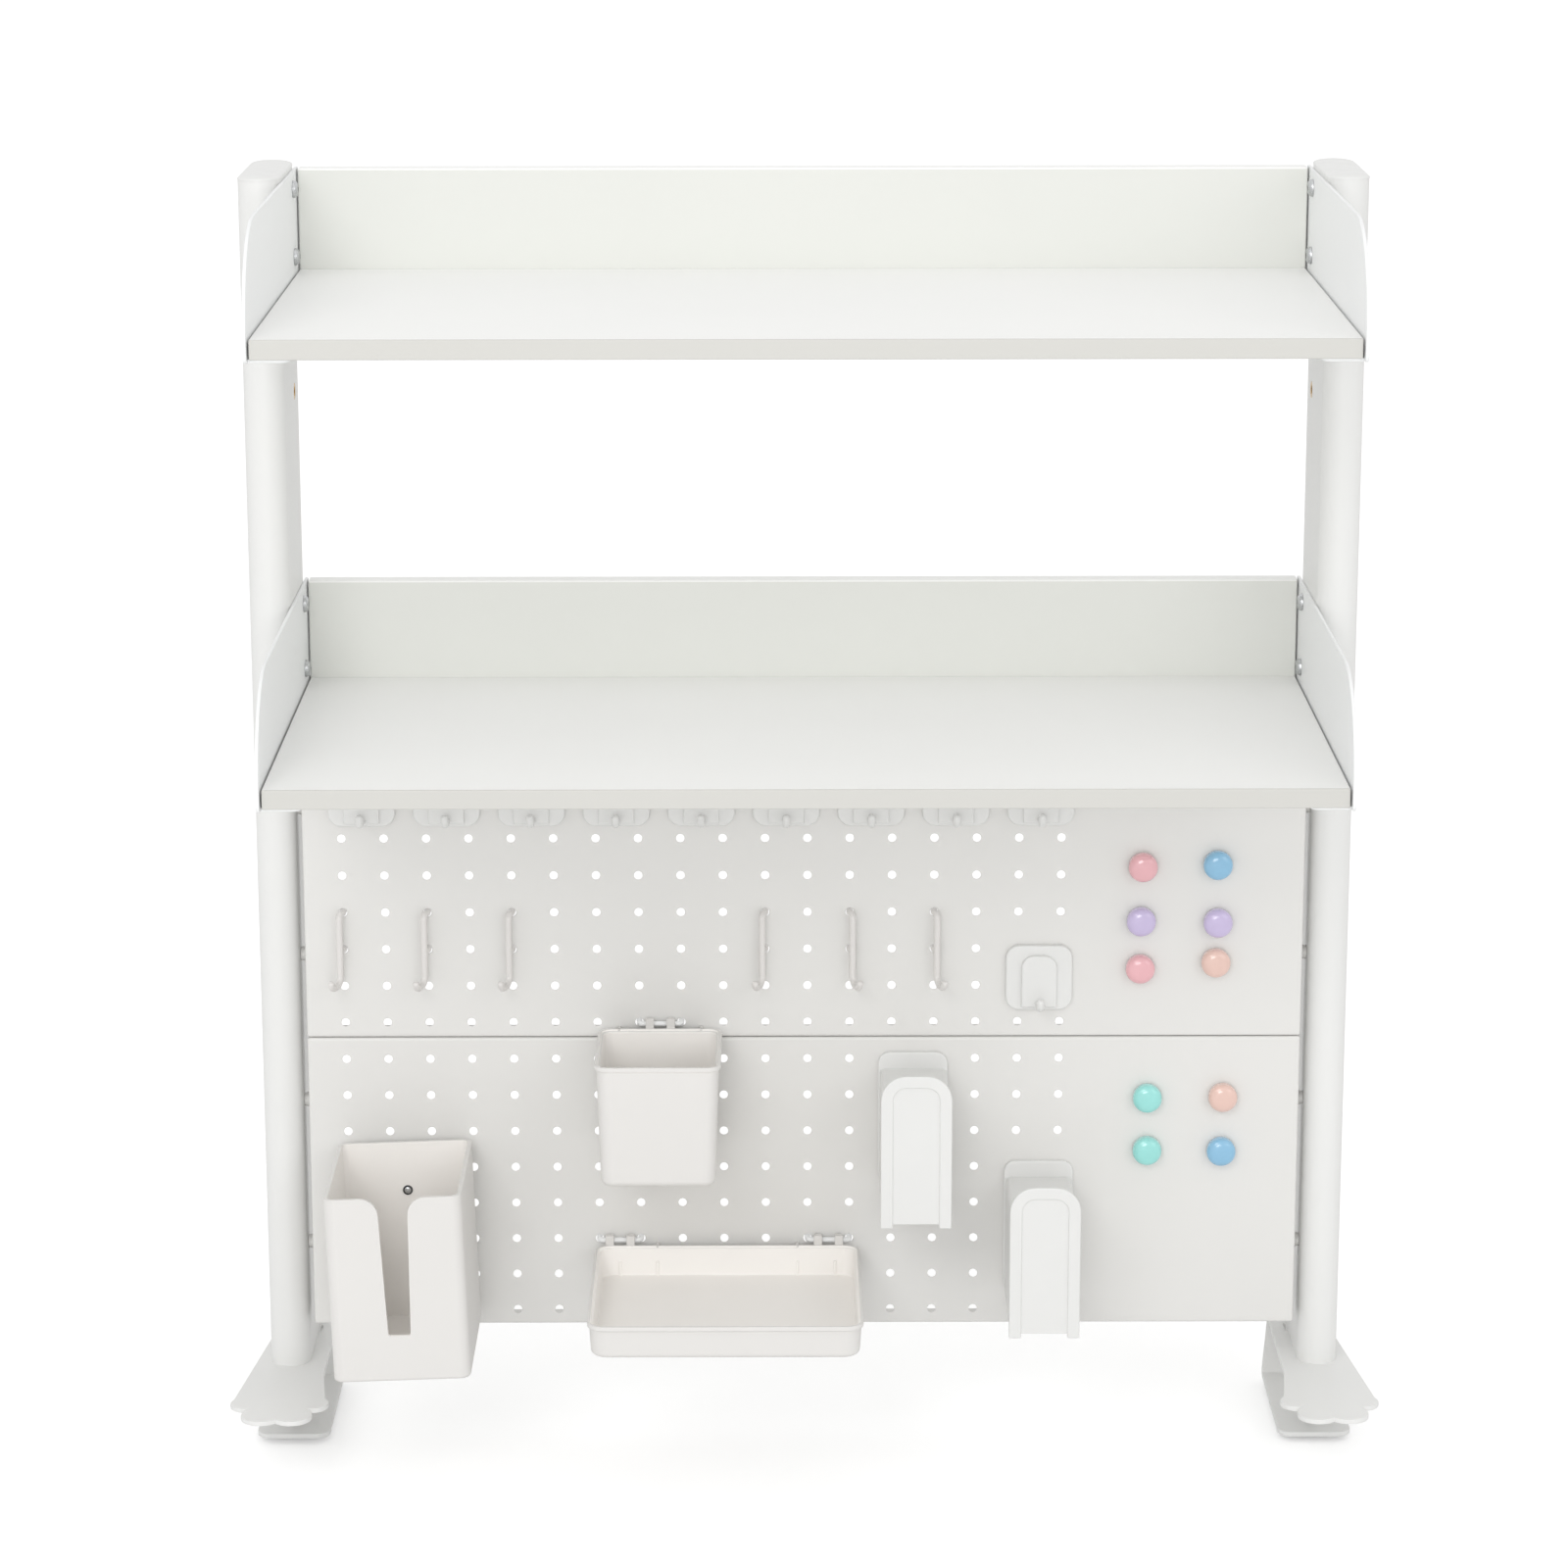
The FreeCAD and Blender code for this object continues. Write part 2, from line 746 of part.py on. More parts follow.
def long_hook(board, column, row, side):
    """Bent wire that swings to one side: a peg, a bar down past the peg below, and a curl at its foot."""
    x = column_x(column)
    z = row_z(board, row)
    back = board_sheet + peg_reach
    low = z - long_hook_drop
    turn = math.radians(long_hook_turn)

    def ahead(distance, height):
        return V(x + side * math.sin(turn) * distance, -math.cos(turn) * distance, height)

    wire = tube(
        [
            V(x, back, z),
            ahead(seat_gap, z),
            ahead(long_hook_stand, z),
            ahead(long_hook_stand, low + long_hook_bend),
            ahead(long_hook_stand + long_hook_bend, low),
            ahead(long_hook_reach - long_hook_bend / 2, low),
            ahead(long_hook_reach, low + long_hook_rise),
        ],
        long_hook_wire, sides=wire_sides,
    )
    bar_y = ahead(long_hook_stand, z).y
    lower_peg = bar("y", (x, z - hole_pitch_z), bar_y, back, polygon(wire_sides, outer=long_hook_wire))
    return fused([wire, lower_peg])


def wire_hanger(board, column, row):
    """Staple of wire through two neighbouring holes; a holder's lugs hang on its bar."""
    z = row_z(board, row)
    left, right = column_x(column), column_x(column + 1)
    y = -hanger_stand
    back = board_sheet + peg_reach
    return tube([V(left, back, z), V(left, y, z), V(right, y, z), V(right, back, z)], hanger_wire)


# ---------------------------------------------------------------- holders
def tapered_cup(centre_x, back, top, width, depth, height, wall, corner, taper):
    """Open moulded box that narrows to its floor, with a rolled rim."""
    centre_y = back - depth / 2

    def ring(z, grow):
        pairs = rounded(width + 2 * grow, depth + 2 * grow, corner + grow)
        return placed("z", (centre_x, centre_y), z, pairs)

    bottom = top - height
    outside = skin([
        ring(bottom, -taper - rim_overhang),
        ring(top - rim_height, -rim_overhang),
        ring(top - rim_height, 0),
        ring(top, 0),
    ])
    hollow = skin([ring(bottom + wall, -taper - rim_overhang - wall), ring(top + past, -rim_overhang - wall)])
    return outside.cut(hollow)


def spacer_rib(x, back, low, high):
    """Upright rib on a holder's back, which keeps it off the board."""
    return block(x - rib_thickness / 2, x + rib_thickness / 2, back - root_depth, -seat_gap, low, high)


def hanging_lug(x, back, z):
    """Lug from a holder's back over the hanger's bar."""
    top = z + hanger_wire + lug_thickness
    seat = z + hanger_wire
    over = block(x - lug_width / 2, x + lug_width / 2, back - root_depth, -hanger_stand + hanger_wire, seat, top)
    root = block(x - lug_width / 2, x + lug_width / 2, back - root_depth, back + root_depth, z - 2 * cup_rim_drop, top)
    return fused([over, root])


def pen_cup():
    board, column, row = cup_seat
    x = column_x(column) + hole_pitch_x / 2
    z = row_z(board, row)
    back = -cup_gap
    top = z - cup_rim_drop
    cup = tapered_cup(x, back, top, cup_width, cup_depth, cup_height, cup_wall, cup_corner, cup_taper)
    low = top - cup_height * cup_rib_share
    ribs = [spacer_rib(x + s * cup_rib_spread / 2, back - rim_overhang, low, top) for s in (-1, 1)]
    lugs = [hanging_lug(x + s * hole_pitch_x / 4, back, z) for s in (-1, 1)]
    return fused([cup] + ribs + lugs)


def tray():
    board, left_column, row = tray_left_seat
    right_column = tray_right_seat[1]
    left = column_x(left_column) + hole_pitch_x / 2
    right = column_x(right_column) + hole_pitch_x / 2
    x = (left + right) / 2 + tray_offset
    z = row_z(board, row)
    back = -cup_gap
    top = z - tray_rim_drop
    body = tapered_cup(x, back, top, tray_width, tray_depth, tray_height, tray_wall, tray_corner, tray_taper)
    low = top - tray_height * tray_rib_share
    ribs = [spacer_rib(x + s * tray_rib_spread / 2, back - rim_overhang, low, top) for s in (-1, 1)]
    lugs = [hanging_lug(centre + s * hole_pitch_x / 4, back, z) for centre in (left, right) for s in (-1, 1)]
    inner = back - rim_overhang - tray_wall
    floor = top - tray_height + tray_wall
    for spread in (tray_rib_spread, tray_inner_rib_spread + hole_pitch_x):
        for s in (-1, 1):
            centre = x + s * spread / 2
            ribs.append(block(centre - rib_thickness / 2, centre + rib_thickness / 2,
                              inner - tray_inner_rib_depth, inner + root_depth,
                              floor - root_depth, floor + tray_inner_rib_rise))
    return fused([body] + ribs + lugs)


def box_tilted(shape):
    shape.rotate(V(box_centre_x, 0, box_bottom), V(0, 1, 0), -box_lean)
    return shape


def tissue_box():
    """Open box with a slot down its front, flared at the rim."""
    centre = (box_centre_x, -box_gap - box_depth / 2)
    top = box_bottom + box_height

    def ring(z, inset):
        return placed("z", centre, z, rounded(box_width - 2 * inset, box_depth - 2 * inset, box_corner - inset, 2))

    outside = skin([ring(box_bottom, 0), ring(top, 0)])
    hollow = skin([ring(box_bottom + box_wall, box_wall), ring(top + past, box_wall)])
    front = -box_gap - box_depth
    neck = top - slot_flare_radius
    floor = box_bottom + slot_floor_rise
    half = [(slot_top_half + slot_flare_radius, top + past)]
    for i in range(slot_flare_steps + 1):
        angle = math.pi / 2 * i / slot_flare_steps
        inward = slot_flare_radius * (1 - math.sin(angle))
        half.append((slot_top_half + inward, neck + slot_flare_radius * math.cos(angle)))
    half += [(slot_bottom_half, floor + slot_corner), (slot_bottom_half - slot_corner, floor)]
    pairs = half + [(-u, v) for u, v in reversed(half)]
    slot = bar("y", (box_centre_x, 0), front - past, front + box_wall + past, pairs)
    rivet_hole = bar(
        "y", (box_centre_x, box_bottom + rivet_rise), -box_gap - box_wall - past, -box_gap + past,
        polygon(rivet_hole_sides, inner=rivet_radius),
    )
    return box_tilted(outside.cut(Part.makeCompound([hollow, slot, rivet_hole])))


def tissue_box_magnet():
    """Pot magnet behind the box, riveted through its back wall."""
    centre = (box_centre_x, box_bottom + rivet_rise)
    inside = -box_gap - box_wall
    profile = [
        (-seat_gap, box_magnet_radius), (-box_gap, box_magnet_radius),
        (-box_gap, rivet_radius), (inside, rivet_radius),
        (inside, rivet_head_radius), (inside - rivet_head_height, rivet_head_radius),
    ]
    return box_tilted(turned_steps("y", centre, profile, 12))


def arch_hanger(x, top):
    """Bracket for headphones or bags: a back plate, a deep saddle open underneath and a raised arched front."""
    w = hanger_width
    back = -seat_gap
    front = -hanger_reach
    bottom = top - hanger_height
    foot = bottom - hanger_leg
    saddle = top - hanger_saddle_drop
    t = hanger_wall
    plate = bar("y", (x, (top + bottom) / 2), back, back - t, rounded(w, top - bottom, hanger_corner))
    side = w / 2 - hanger_side_inset
    bridge = block(x - side, x + side, front + hanger_recess, back - t, bottom, saddle)
    under = block(x - side + t, x + side - t, front + t, back - t, bottom - past, saddle - t)
    bridge = bridge.cut(under)
    arch_top = saddle + hanger_lip
    arch = bar("y", (x, (arch_top + foot) / 2), front, front + t, rounded(w, arch_top - foot, hanger_arch_corner, 4))
    square_foot = block(x - w / 2, x + w / 2, front, front + t, foot, foot + hanger_arch_corner)
    body = fused([plate, bridge, arch, square_foot])
    inner_half = w / 2 - hanger_recess_margin
    recess_top = arch_top - hanger_recess_margin
    recess = block(x - inner_half, x + inner_half, front - past, front + hanger_recess, foot - past, recess_top)
    gap = block(x - inner_half, x + inner_half, front - past, front + t + past, foot - past, bottom)
    return body.cut(Part.makeCompound([recess, gap]))


def magnet(x, z):
    """Button magnet with a domed cap."""
    r = magnet_radius
    profile = [
        (-seat_gap, r), (-seat_gap - magnet_skirt, r),
        (-seat_gap - magnet_skirt - magnet_dome * magnet_turn_rise, r * magnet_turn_radius),
        (-seat_gap - magnet_skirt - magnet_dome, r * magnet_top_radius),
    ]
    return turned("y", (x, z), profile, magnet_sides)


# ---------------------------------------------------------------- the whole part
def save_posts():
    post = right_post()
    save("right_post", post)
    save("left_post", mirrored(post))
    save("post_caps", both_sides([right_cap()]))
    save("post_foot_plugs", both_sides([right_foot_plug()]))
    save("post_base_screws", both_sides([base_screw(place) for place in base_screw_places()]))
    save("post_thread_inserts", both_sides([spare_insert()]))


def save_shelves():
    for name, top in (("top", top_shelf_height), ("lower", lower_shelf_height)):
        save(name + "_shelf_board", shelf_board(top))
        save(name + "_back_panel", back_panel(top))
        plate = right_side_plate(top)
        save(name + "_right_side_plate", plate)
        save(name + "_left_side_plate", mirrored(plate))
    save("shelf_bolts", both_sides([shelf_bolt(z) for z in bolt_heights()]))


def save_pegboards():
    for board in ("upper", "lower"):
        save(board + "_pegboard", pegboard(board))
    save("pegboard_screws", both_sides([pegboard_screw(z) for z in board_screw_heights()]))


def save_clamps():
    for name, shape in (
        ("clamp_bracket", right_clamp_bracket()),
        ("clamp_screw", right_clamp_screw()),
        ("clamp_foot", right_clamp_foot()),
    ):
        save("right_" + name, shape)
        save("left_" + name, mirrored(shape))


def save_accessories():
    for number, seat in enumerate(plate_hook_seats, 1):
        save("plate_hook_%d" % number, plate_hook(*seat))
    for number, seat in enumerate(long_hook_seats, 1):
        save("long_hook_%d" % number, long_hook(*seat))
    for number, place in enumerate(magnet_places, 1):
        save("magnet_%d" % number, magnet(*place))
    save("pen_cup", pen_cup())
    save("pen_cup_hanger", wire_hanger(*cup_seat))
    save("tray", tray())
    hangers = [wire_hanger(*seat) for seat in (tray_left_seat, tray_right_seat)]
    save("tray_hangers", Part.makeCompound(hangers))
    save("tissue_box", tissue_box())
    save("tissue_box_magnet", tissue_box_magnet())
    save("left_hanger", arch_hanger(left_hanger_x, left_hanger_top))
    save("right_hanger", arch_hanger(right_hanger_x, right_hanger_top))


save_posts()
save_shelves()
save_pegboards()
save_clamps()
save_accessories()
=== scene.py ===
"""Desk-clamp pegboard organizer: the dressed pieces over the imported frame.

Metres, X to the user's right, Y away from the user, Z up. X = 0 is midway between the posts, Y = 0 is the front
face of the pegboards and Z = 0 is the desk top under the clamps' top plates.
"""

import math

import bmesh
import bpy
from mathutils import Matrix, Vector


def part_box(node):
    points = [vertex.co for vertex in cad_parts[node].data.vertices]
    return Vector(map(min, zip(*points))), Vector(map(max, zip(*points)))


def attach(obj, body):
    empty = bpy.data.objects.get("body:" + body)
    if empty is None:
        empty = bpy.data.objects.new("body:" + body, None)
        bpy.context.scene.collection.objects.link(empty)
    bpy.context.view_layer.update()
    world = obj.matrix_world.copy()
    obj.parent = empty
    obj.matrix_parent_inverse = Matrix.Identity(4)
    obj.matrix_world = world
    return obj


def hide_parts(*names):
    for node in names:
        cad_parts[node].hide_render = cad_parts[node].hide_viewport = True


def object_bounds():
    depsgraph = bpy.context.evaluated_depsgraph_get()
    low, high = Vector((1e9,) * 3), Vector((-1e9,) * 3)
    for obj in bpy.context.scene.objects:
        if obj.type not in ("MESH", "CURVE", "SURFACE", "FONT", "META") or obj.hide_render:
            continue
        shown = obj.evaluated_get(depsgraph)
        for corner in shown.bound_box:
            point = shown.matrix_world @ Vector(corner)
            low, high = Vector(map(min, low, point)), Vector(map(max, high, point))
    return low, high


bl_info = {
    "name": "Desk-Clamp Pegboard Organizer",
    "version": (1, 0, 0),
    "blender": (4, 5, 0),
    "location": "View3D > Sidebar > Organizer",
    "description": "Builds a pegboard organizer with shelves, hooks and holders over its packed frame",
    "category": "Add Mesh",
}

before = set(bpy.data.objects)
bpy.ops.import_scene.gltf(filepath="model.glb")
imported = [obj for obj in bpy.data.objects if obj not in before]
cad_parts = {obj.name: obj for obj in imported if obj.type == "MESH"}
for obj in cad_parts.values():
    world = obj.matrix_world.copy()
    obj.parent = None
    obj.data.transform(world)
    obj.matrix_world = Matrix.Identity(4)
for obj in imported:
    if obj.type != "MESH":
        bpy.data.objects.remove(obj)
CAD_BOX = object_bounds()

HOLE_STEPS = 24  # flat sides of a round hole, a multiple of 4
SIDES = (("left", -1), ("right", 1))
SHELVES = ("top", "lower")
BOARDS = ("upper", "lower")
PLATE_HOOKS = [f"plate_hook_{n}" for n in range(1, 11)]
LONG_HOOKS = [f"long_hook_{n}" for n in range(1, 7)]
RIGHT_SWUNG = LONG_HOOKS[4:]  # the other long hooks swing to the left
MAGNETS = {
    "magnet_1": "pink_cap", "magnet_2": "blue_cap", "magnet_3": "purple_cap", "magnet_4": "purple_cap",
    "magnet_5": "pink_cap", "magnet_6": "peach_cap", "magnet_7": "teal_cap", "magnet_8": "peach_cap",
    "magnet_9": "teal_cap", "magnet_10": "blue_cap",
}


def mm(*sizes):
    """Millimetres in metres: a number from one size, a Vector from three."""
    return sizes[0] * 0.001 if len(sizes) == 1 else Vector(sizes) * 0.001


def linear(hex_colour):
    """Linear red, green and blue of an sRGB hex colour."""
    parts = [int(hex_colour[i:i + 2], 16) / 255 for i in (1, 3, 5)]
    return tuple(p / 12.92 if p <= 0.04045 else ((p + 0.055) / 1.055) ** 2.4 for p in parts)


# ---------------------------------------------------------------- sizes and colours that a user may change
def length(name, default, description):
    return bpy.props.FloatProperty(name=name, description=description, default=default, min=0.0, unit="LENGTH")


def colour(name, hex_colour, description):
    return bpy.props.FloatVectorProperty(
        name=name, description=description, default=linear(hex_colour), size=3, subtype="COLOR", min=0.0, max=1.0
    )


class OrganizerSizes(bpy.types.PropertyGroup):
    hole_radius: length("Hole radius", 0.0025, "Radius of the pegboards' holes")
    hole_lip: length("Hole lip", 0.00045, "Rolled edge round each hole")
    hole_pitch_x: length("Hole pitch across", 0.025, "Distance between the hole columns")
    hole_pitch_z: length("Hole pitch up", 0.0226, "Distance between the hole rows")
    first_column: length("First column", 0.0231, "From the board's left edge to its first column of holes")
    first_row: length("First row", 0.0092, "From the board's lower edge to its first row of holes")
    board_gap: length("Board gap", 0.004, "From each end of the pegboards to the post beside it")
    board_edge: length("Board edge radius", 0.0016, "Outer bend radius of the pegboards' folded edges")
    board_sheet: length("Board sheet", 0.001, "Sheet thickness of the pegboards")
    clamp_sheet: length("Clamp sheet", 0.003, "Sheet thickness of the clamp brackets")
    plate_radius: length("Side plate corner", 0.06, "Upper front corner of the shelves' side plates")
    edge_band: length("Edge band", 0.0012, "Depth of the band on the shelves' front edges")
    cup_wall: length("Cup wall", 0.0022, "Wall of the pen cup and the tray")
    box_wall: length("Box wall", 0.0024, "Wall of the tissue box")


class OrganizerColours(bpy.types.PropertyGroup):
    steel: colour("Steel", "#e6e6e4", "Powder coat of the posts and clamps")
    plates: colour("Side plates", "#f0f1f1", "Powder coat of the shelves' side plates")
    boards: colour("Boards", "#e0dfdc", "Powder coat of the pegboards")
    laminate: colour("Laminate", "#f4f4f2", "Melamine faces of the shelves")
    # painted shade: the rear panels are the shelves' white melamine, coloured darker for their upright faces
    panels: colour("Rear panels", "#e1e2dd", "Melamine faces of the rear panels")
    # a real edge band, coloured darker as painted shade on the front-facing edge
    band: colour("Edge band", "#cccbc6", "Band on the shelves' front edges")
    hooks: colour("Hooks", "#e2e2e0", "Moulded hooks and hangers")
    caps: colour("Post caps", "#e3e3e1", "Moulded caps of the posts")
    wires: colour("Long hooks", "#dedbd8", "Vinyl coat of the long hooks")
    holders: colour("Holders", "#dfddda", "Moulded cup, tray and tissue box")
    # painted light: the insides are coloured paler and warmer than the holders' outsides
    painted_light_insides: colour("Insides", "#f8f5f1", "Insides of the cup, tray and tissue box")
    pink: colour("Pink caps", "#e9b1b7", "Pink magnet caps")
    blue: colour("Blue caps", "#88bcdc", "Blue magnet caps")
    purple: colour("Purple caps", "#c8bade", "Purple magnet caps")
    peach: colour("Peach caps", "#e6c3b7", "Peach magnet caps")
    teal: colour("Teal caps", "#98dfd9", "Teal magnet caps")


# ---------------------------------------------------------------- materials
def add(tree, kind, inputs=None, **settings):
    """A shader node with its settings, and its inputs set or linked by name or number."""
    made = tree.nodes.new("ShaderNode" + kind)
    for name, value in settings.items():
        setattr(made, name, value)
    for name, value in (inputs or {}).items():
        if isinstance(value, bpy.types.NodeSocket):
            tree.links.new(value, made.inputs[name])
        else:
            made.inputs[name].default_value = value
    return made


def surface(name, base, roughness, patch, fleck, grain, depth, shade=0.03, stretch=(1, 1, 1), **shader):
    """A finish: colour that drifts over patch metres, and grain metres across that bump the surface by depth.

    fleck is how far the roughness wanders with the grain, and shade how far the colour drifts.
    """
    material = bpy.data.materials.new(name)
    material.use_nodes = True
    tree = material.node_tree
    tree.nodes.clear()
    place = add(tree, "TexCoord").outputs["Object"]
    place = add(tree, "Mapping", {"Vector": place, "Scale": stretch}).outputs["Vector"]
    drift = add(tree, "TexNoise", {"Vector": place, "Scale": 1 / patch, "Detail": 2.0}).outputs["Fac"]
    fine = add(tree, "TexNoise", {"Vector": place, "Scale": 1 / grain, "Detail": 3.0}).outputs["Fac"]
    darker = [channel * (1 - shade) for channel in base]
    # sockets 6 and 7 are the Mix node's two colours: by name it would find its plain numbers first
    tone = add(tree, "Mix", {"Factor": drift, 6: (*base, 1), 7: (*darker, 1)}, data_type="RGBA")
    rough = add(
        tree, "MapRange",
        {"Value": fine, "From Min": 0.3, "From Max": 0.7, "To Min": roughness - fleck, "To Max": roughness + fleck},
    )
    bump = add(tree, "Bump", {"Height": fine, "Distance": depth, "Strength": 0.6})
    principled = add(
        tree, "BsdfPrincipled",
        {"Base Color": tone.outputs[2], "Roughness": rough.outputs["Result"], "Normal": bump.outputs["Normal"]},
    )
    for socket, value in shader.items():
        principled.inputs[socket.replace("_", " ").title().replace("Ior", "IOR")].default_value = value
    add(tree, "OutputMaterial", {"Surface": principled.outputs["BSDF"]})
    return material


def finish(name):
    """A finish by name, made when a piece first needs it."""
    if name in bpy.data.materials:
        return bpy.data.materials[name]
    hues = bpy.context.scene.organizer_colours
    # polyester powder coat: satin, with the faint orange peel of a sprayed and baked film, drawn 3 mm across
    coat = dict(roughness=0.42, patch=mm(90), fleck=0.05, grain=mm(3), depth=mm(0.03), ior=1.5)
    # melamine paper on board: a drier satin with a fine pearl grain pressed in by the plate
    paper = dict(roughness=0.5, patch=mm(140), fleck=0.06, grain=mm(2), depth=mm(0.02), ior=1.5)
    # moulded ABS: smooth and a little glossy, with a slow shrink wave over thick places
    abs_moulding = dict(roughness=0.34, patch=mm(30), fleck=0.04, grain=mm(9), depth=mm(0.02), ior=1.53)
    # moulded polypropylene: softer shine, with the fine spark-eroded grain of its tool, drawn 1.5 mm across
    pp_moulding = dict(roughness=0.45, patch=mm(50), fleck=0.06, grain=mm(1.5), depth=mm(0.02), ior=1.49)
    # lacquered caps: a clear coat gives each dome its small soft highlight
    lacquer = dict(
        roughness=0.24, patch=mm(8), fleck=0.03, grain=mm(4), depth=mm(0.01), shade=0.08, ior=1.5,
        coat_weight=1.0, coat_roughness=0.1,
    )
    # turned and plated steel: a fine grain for its tool marks
    plated = dict(patch=mm(4), fleck=0.08, grain=mm(0.8), depth=mm(0.01), shade=0.12, metallic=1.0)
    recipes = {
        "powder_coated_steel": lambda: surface(name, hues.steel, **coat),
        "powder_coated_plate": lambda: surface(name, hues.plates, **coat),
        "powder_coated_board": lambda: surface(name, hues.boards, **coat),
        "melamine_laminate": lambda: surface(name, hues.laminate, **paper),
        # painted shade: the shelves' melamine in a darker copy for the rear panels' upright faces
        "melamine_panel_painted_shade": lambda: surface(name, hues.panels, **paper),
        # a real edge band, coloured darker as painted shade on the shelves' front-facing edges
        "melamine_edge_band_painted_shade": lambda: surface(name, hues.band, **paper),
        "abs_plastic": lambda: surface(name, hues.hooks, **abs_moulding),
        "abs_cap_plastic": lambda: surface(name, hues.caps, **abs_moulding),
        # wire dipped in vinyl: a soft, slightly warm skin
        "vinyl_coated_wire": lambda: surface(name, hues.wires, **abs_moulding),
        "polypropylene": lambda: surface(name, hues.holders, **pp_moulding),
        # painted light: a hollow's inside gets a paler, warmer colour than its outside, standing in for light soaking
        # through the thin walls
        "polypropylene_inside": lambda: surface(name, hues.painted_light_insides, **pp_moulding),
        "zinc_plated_steel": lambda: surface(name, linear("#c9cbcc"), roughness=0.3, **plated),
        "nickel_plated_steel": lambda: surface(name, linear("#b9b7b2"), roughness=0.24, **plated),
        "black_oxide_steel": lambda: surface(name, linear("#4a4b4d"), roughness=0.45, **plated),
        "brass": lambda: surface(name, linear("#d6b06e"), roughness=0.28, **plated),
        "nylon": lambda: surface(name, linear("#c9c9c7"), **pp_moulding),
        "lacquered_pink_cap": lambda: surface(name, hues.pink, **lacquer),
        "lacquered_blue_cap": lambda: surface(name, hues.blue, **lacquer),
        "lacquered_purple_cap": lambda: surface(name, hues.purple, **lacquer),
        "lacquered_peach_cap": lambda: surface(name, hues.peach, **lacquer),
        "lacquered_teal_cap": lambda: surface(name, hues.teal, **lacquer),
    }
    return recipes[name]()


# ---------------------------------------------------------------- solids
def edges_where(bm, test):
    """Edges whose middle point and direction pass a test."""
    found = []
    for edge in bm.edges:
        a, b = (v.co for v in edge.verts)
        if test((a + b) / 2, (b - a).normalized()):
            found.append(edge)
    return found


def bevelled(bm, edges, offset, segments):
    bmesh.ops.bevel(
        bm, geom=edges, offset=offset, offset_type="OFFSET", affect="EDGES", segments=segments, profile=0.5,
        material=-1, clamp_overlap=True,
    )
    return bm


def softened(bm, offset, segments=2, angle=50, test=None):
    """Rounds a solid's sharp edges, or those whose middle point passes a test."""
    sharp = []
    for edge in bm.edges:
        if len(edge.link_faces) != 2 or edge.calc_face_angle() < math.radians(angle):
            continue
        if test is None or test((edge.verts[0].co + edge.verts[1].co) / 2):
            sharp.append(edge)
    return bevelled(bm, sharp, offset, segments)


def outward(bm):
    bmesh.ops.recalc_face_normals(bm, faces=bm.faces)
    return bm


def block(low, high, axis=None, corner=0.0, steps=6, test=None):
    """Block between two corners, with its edges along an axis rounded."""
    low, high = Vector(low), Vector(high)
    size = high - low
    bm = bmesh.new()
    place = Matrix.Translation((low + high) / 2) @ Matrix.Diagonal((*size, 1))
    bmesh.ops.create_cube(bm, size=1, matrix=place)
    if axis is not None and corner:
        along = edges_where(bm, lambda middle, way: abs(way[axis]) > 0.9 and (test is None or test(middle)))
        bevelled(bm, along, corner, steps)
    return bm


def lathe(profile, centre, axis, steps=32):
    """Turned solid from (along the axis, radius) points in mm, from pole to pole."""
    bm = bmesh.new()
    axis = Vector(axis)
    side = axis.orthogonal().normalized()
    verts = [bm.verts.new(Vector(centre) + axis * mm(along) + side * mm(radius)) for along, radius in profile]
    edges = [bm.edges.new(pair) for pair in zip(verts, verts[1:])]
    bmesh.ops.spin(
        bm, geom=verts + edges, cent=centre, axis=axis, dvec=(0, 0, 0), angle=2 * math.pi, steps=steps,
        use_merge=True, use_duplicate=False,
    )
    bmesh.ops.remove_doubles(bm, verts=bm.verts, dist=1e-6)
    return outward(bm)


def edge_ring(geometry):
    """Edges of an extrusion's or a spin's far ring: those whose ends are both new."""
    verts = {g for g in geometry if isinstance(g, bmesh.types.BMVert)}
    return [g for g in geometry if isinstance(g, bmesh.types.BMEdge) and set(g.verts) <= verts]


def drawn_out(bm, ring, shift):
    """Draws a ring of edges out along a straight run."""
    made = bmesh.ops.extrude_edge_only(bm, edges=ring)["geom"]
    bmesh.ops.translate(bm, verts=[g for g in made if isinstance(g, bmesh.types.BMVert)], vec=shift)
    return edge_ring(made)


def swept(bm, ring, here, ahead, moves, tip=0.0):
    """Carries a ring along runs and bends, as wire is bent, and closes its ends.

    A move is a length, or a bend as (radius, degrees, the side it turns to). tip rounds the ends.
    """
    here, ahead = Vector(here), Vector(ahead).normalized()
    start = ring
    for move in moves:
        if isinstance(move, tuple):
            radius, degrees, side = move
            side = Vector(side)
            side = (side - ahead * ahead.dot(side)).normalized()
            axis, centre, angle = ahead.cross(side), here + side * radius, math.radians(degrees)
            made = bmesh.ops.spin(
                bm, geom=ring, cent=centre, axis=axis, dvec=(0, 0, 0), angle=angle,
                steps=max(3, round(degrees / 12)), use_duplicate=False,
            )
            ring = edge_ring(made["geom_last"])
            turn = Matrix.Rotation(angle, 3, axis)
            here, ahead = centre + turn @ (here - centre), turn @ ahead
        else:
            ring = drawn_out(bm, ring, ahead * move)
            here = here + ahead * move
    for end in (start, ring):
        bmesh.ops.edgeloop_fill(bm, edges=end)
    outward(bm)
    if tip:
        bevelled(bm, start + ring, tip, 4)
    return bm


def rod(radius, here, ahead, moves, sides=14, tip=0.8):
    """Round wire or rod."""
    bm = bmesh.new()
    turn = Vector(ahead).to_track_quat("Z", "Y").to_matrix().to_4x4()
    place = Matrix.Translation(here) @ turn
    bmesh.ops.create_circle(bm, cap_ends=False, radius=radius, segments=sides, matrix=place)
    return swept(bm, list(bm.edges), here, ahead, moves, tip * radius)


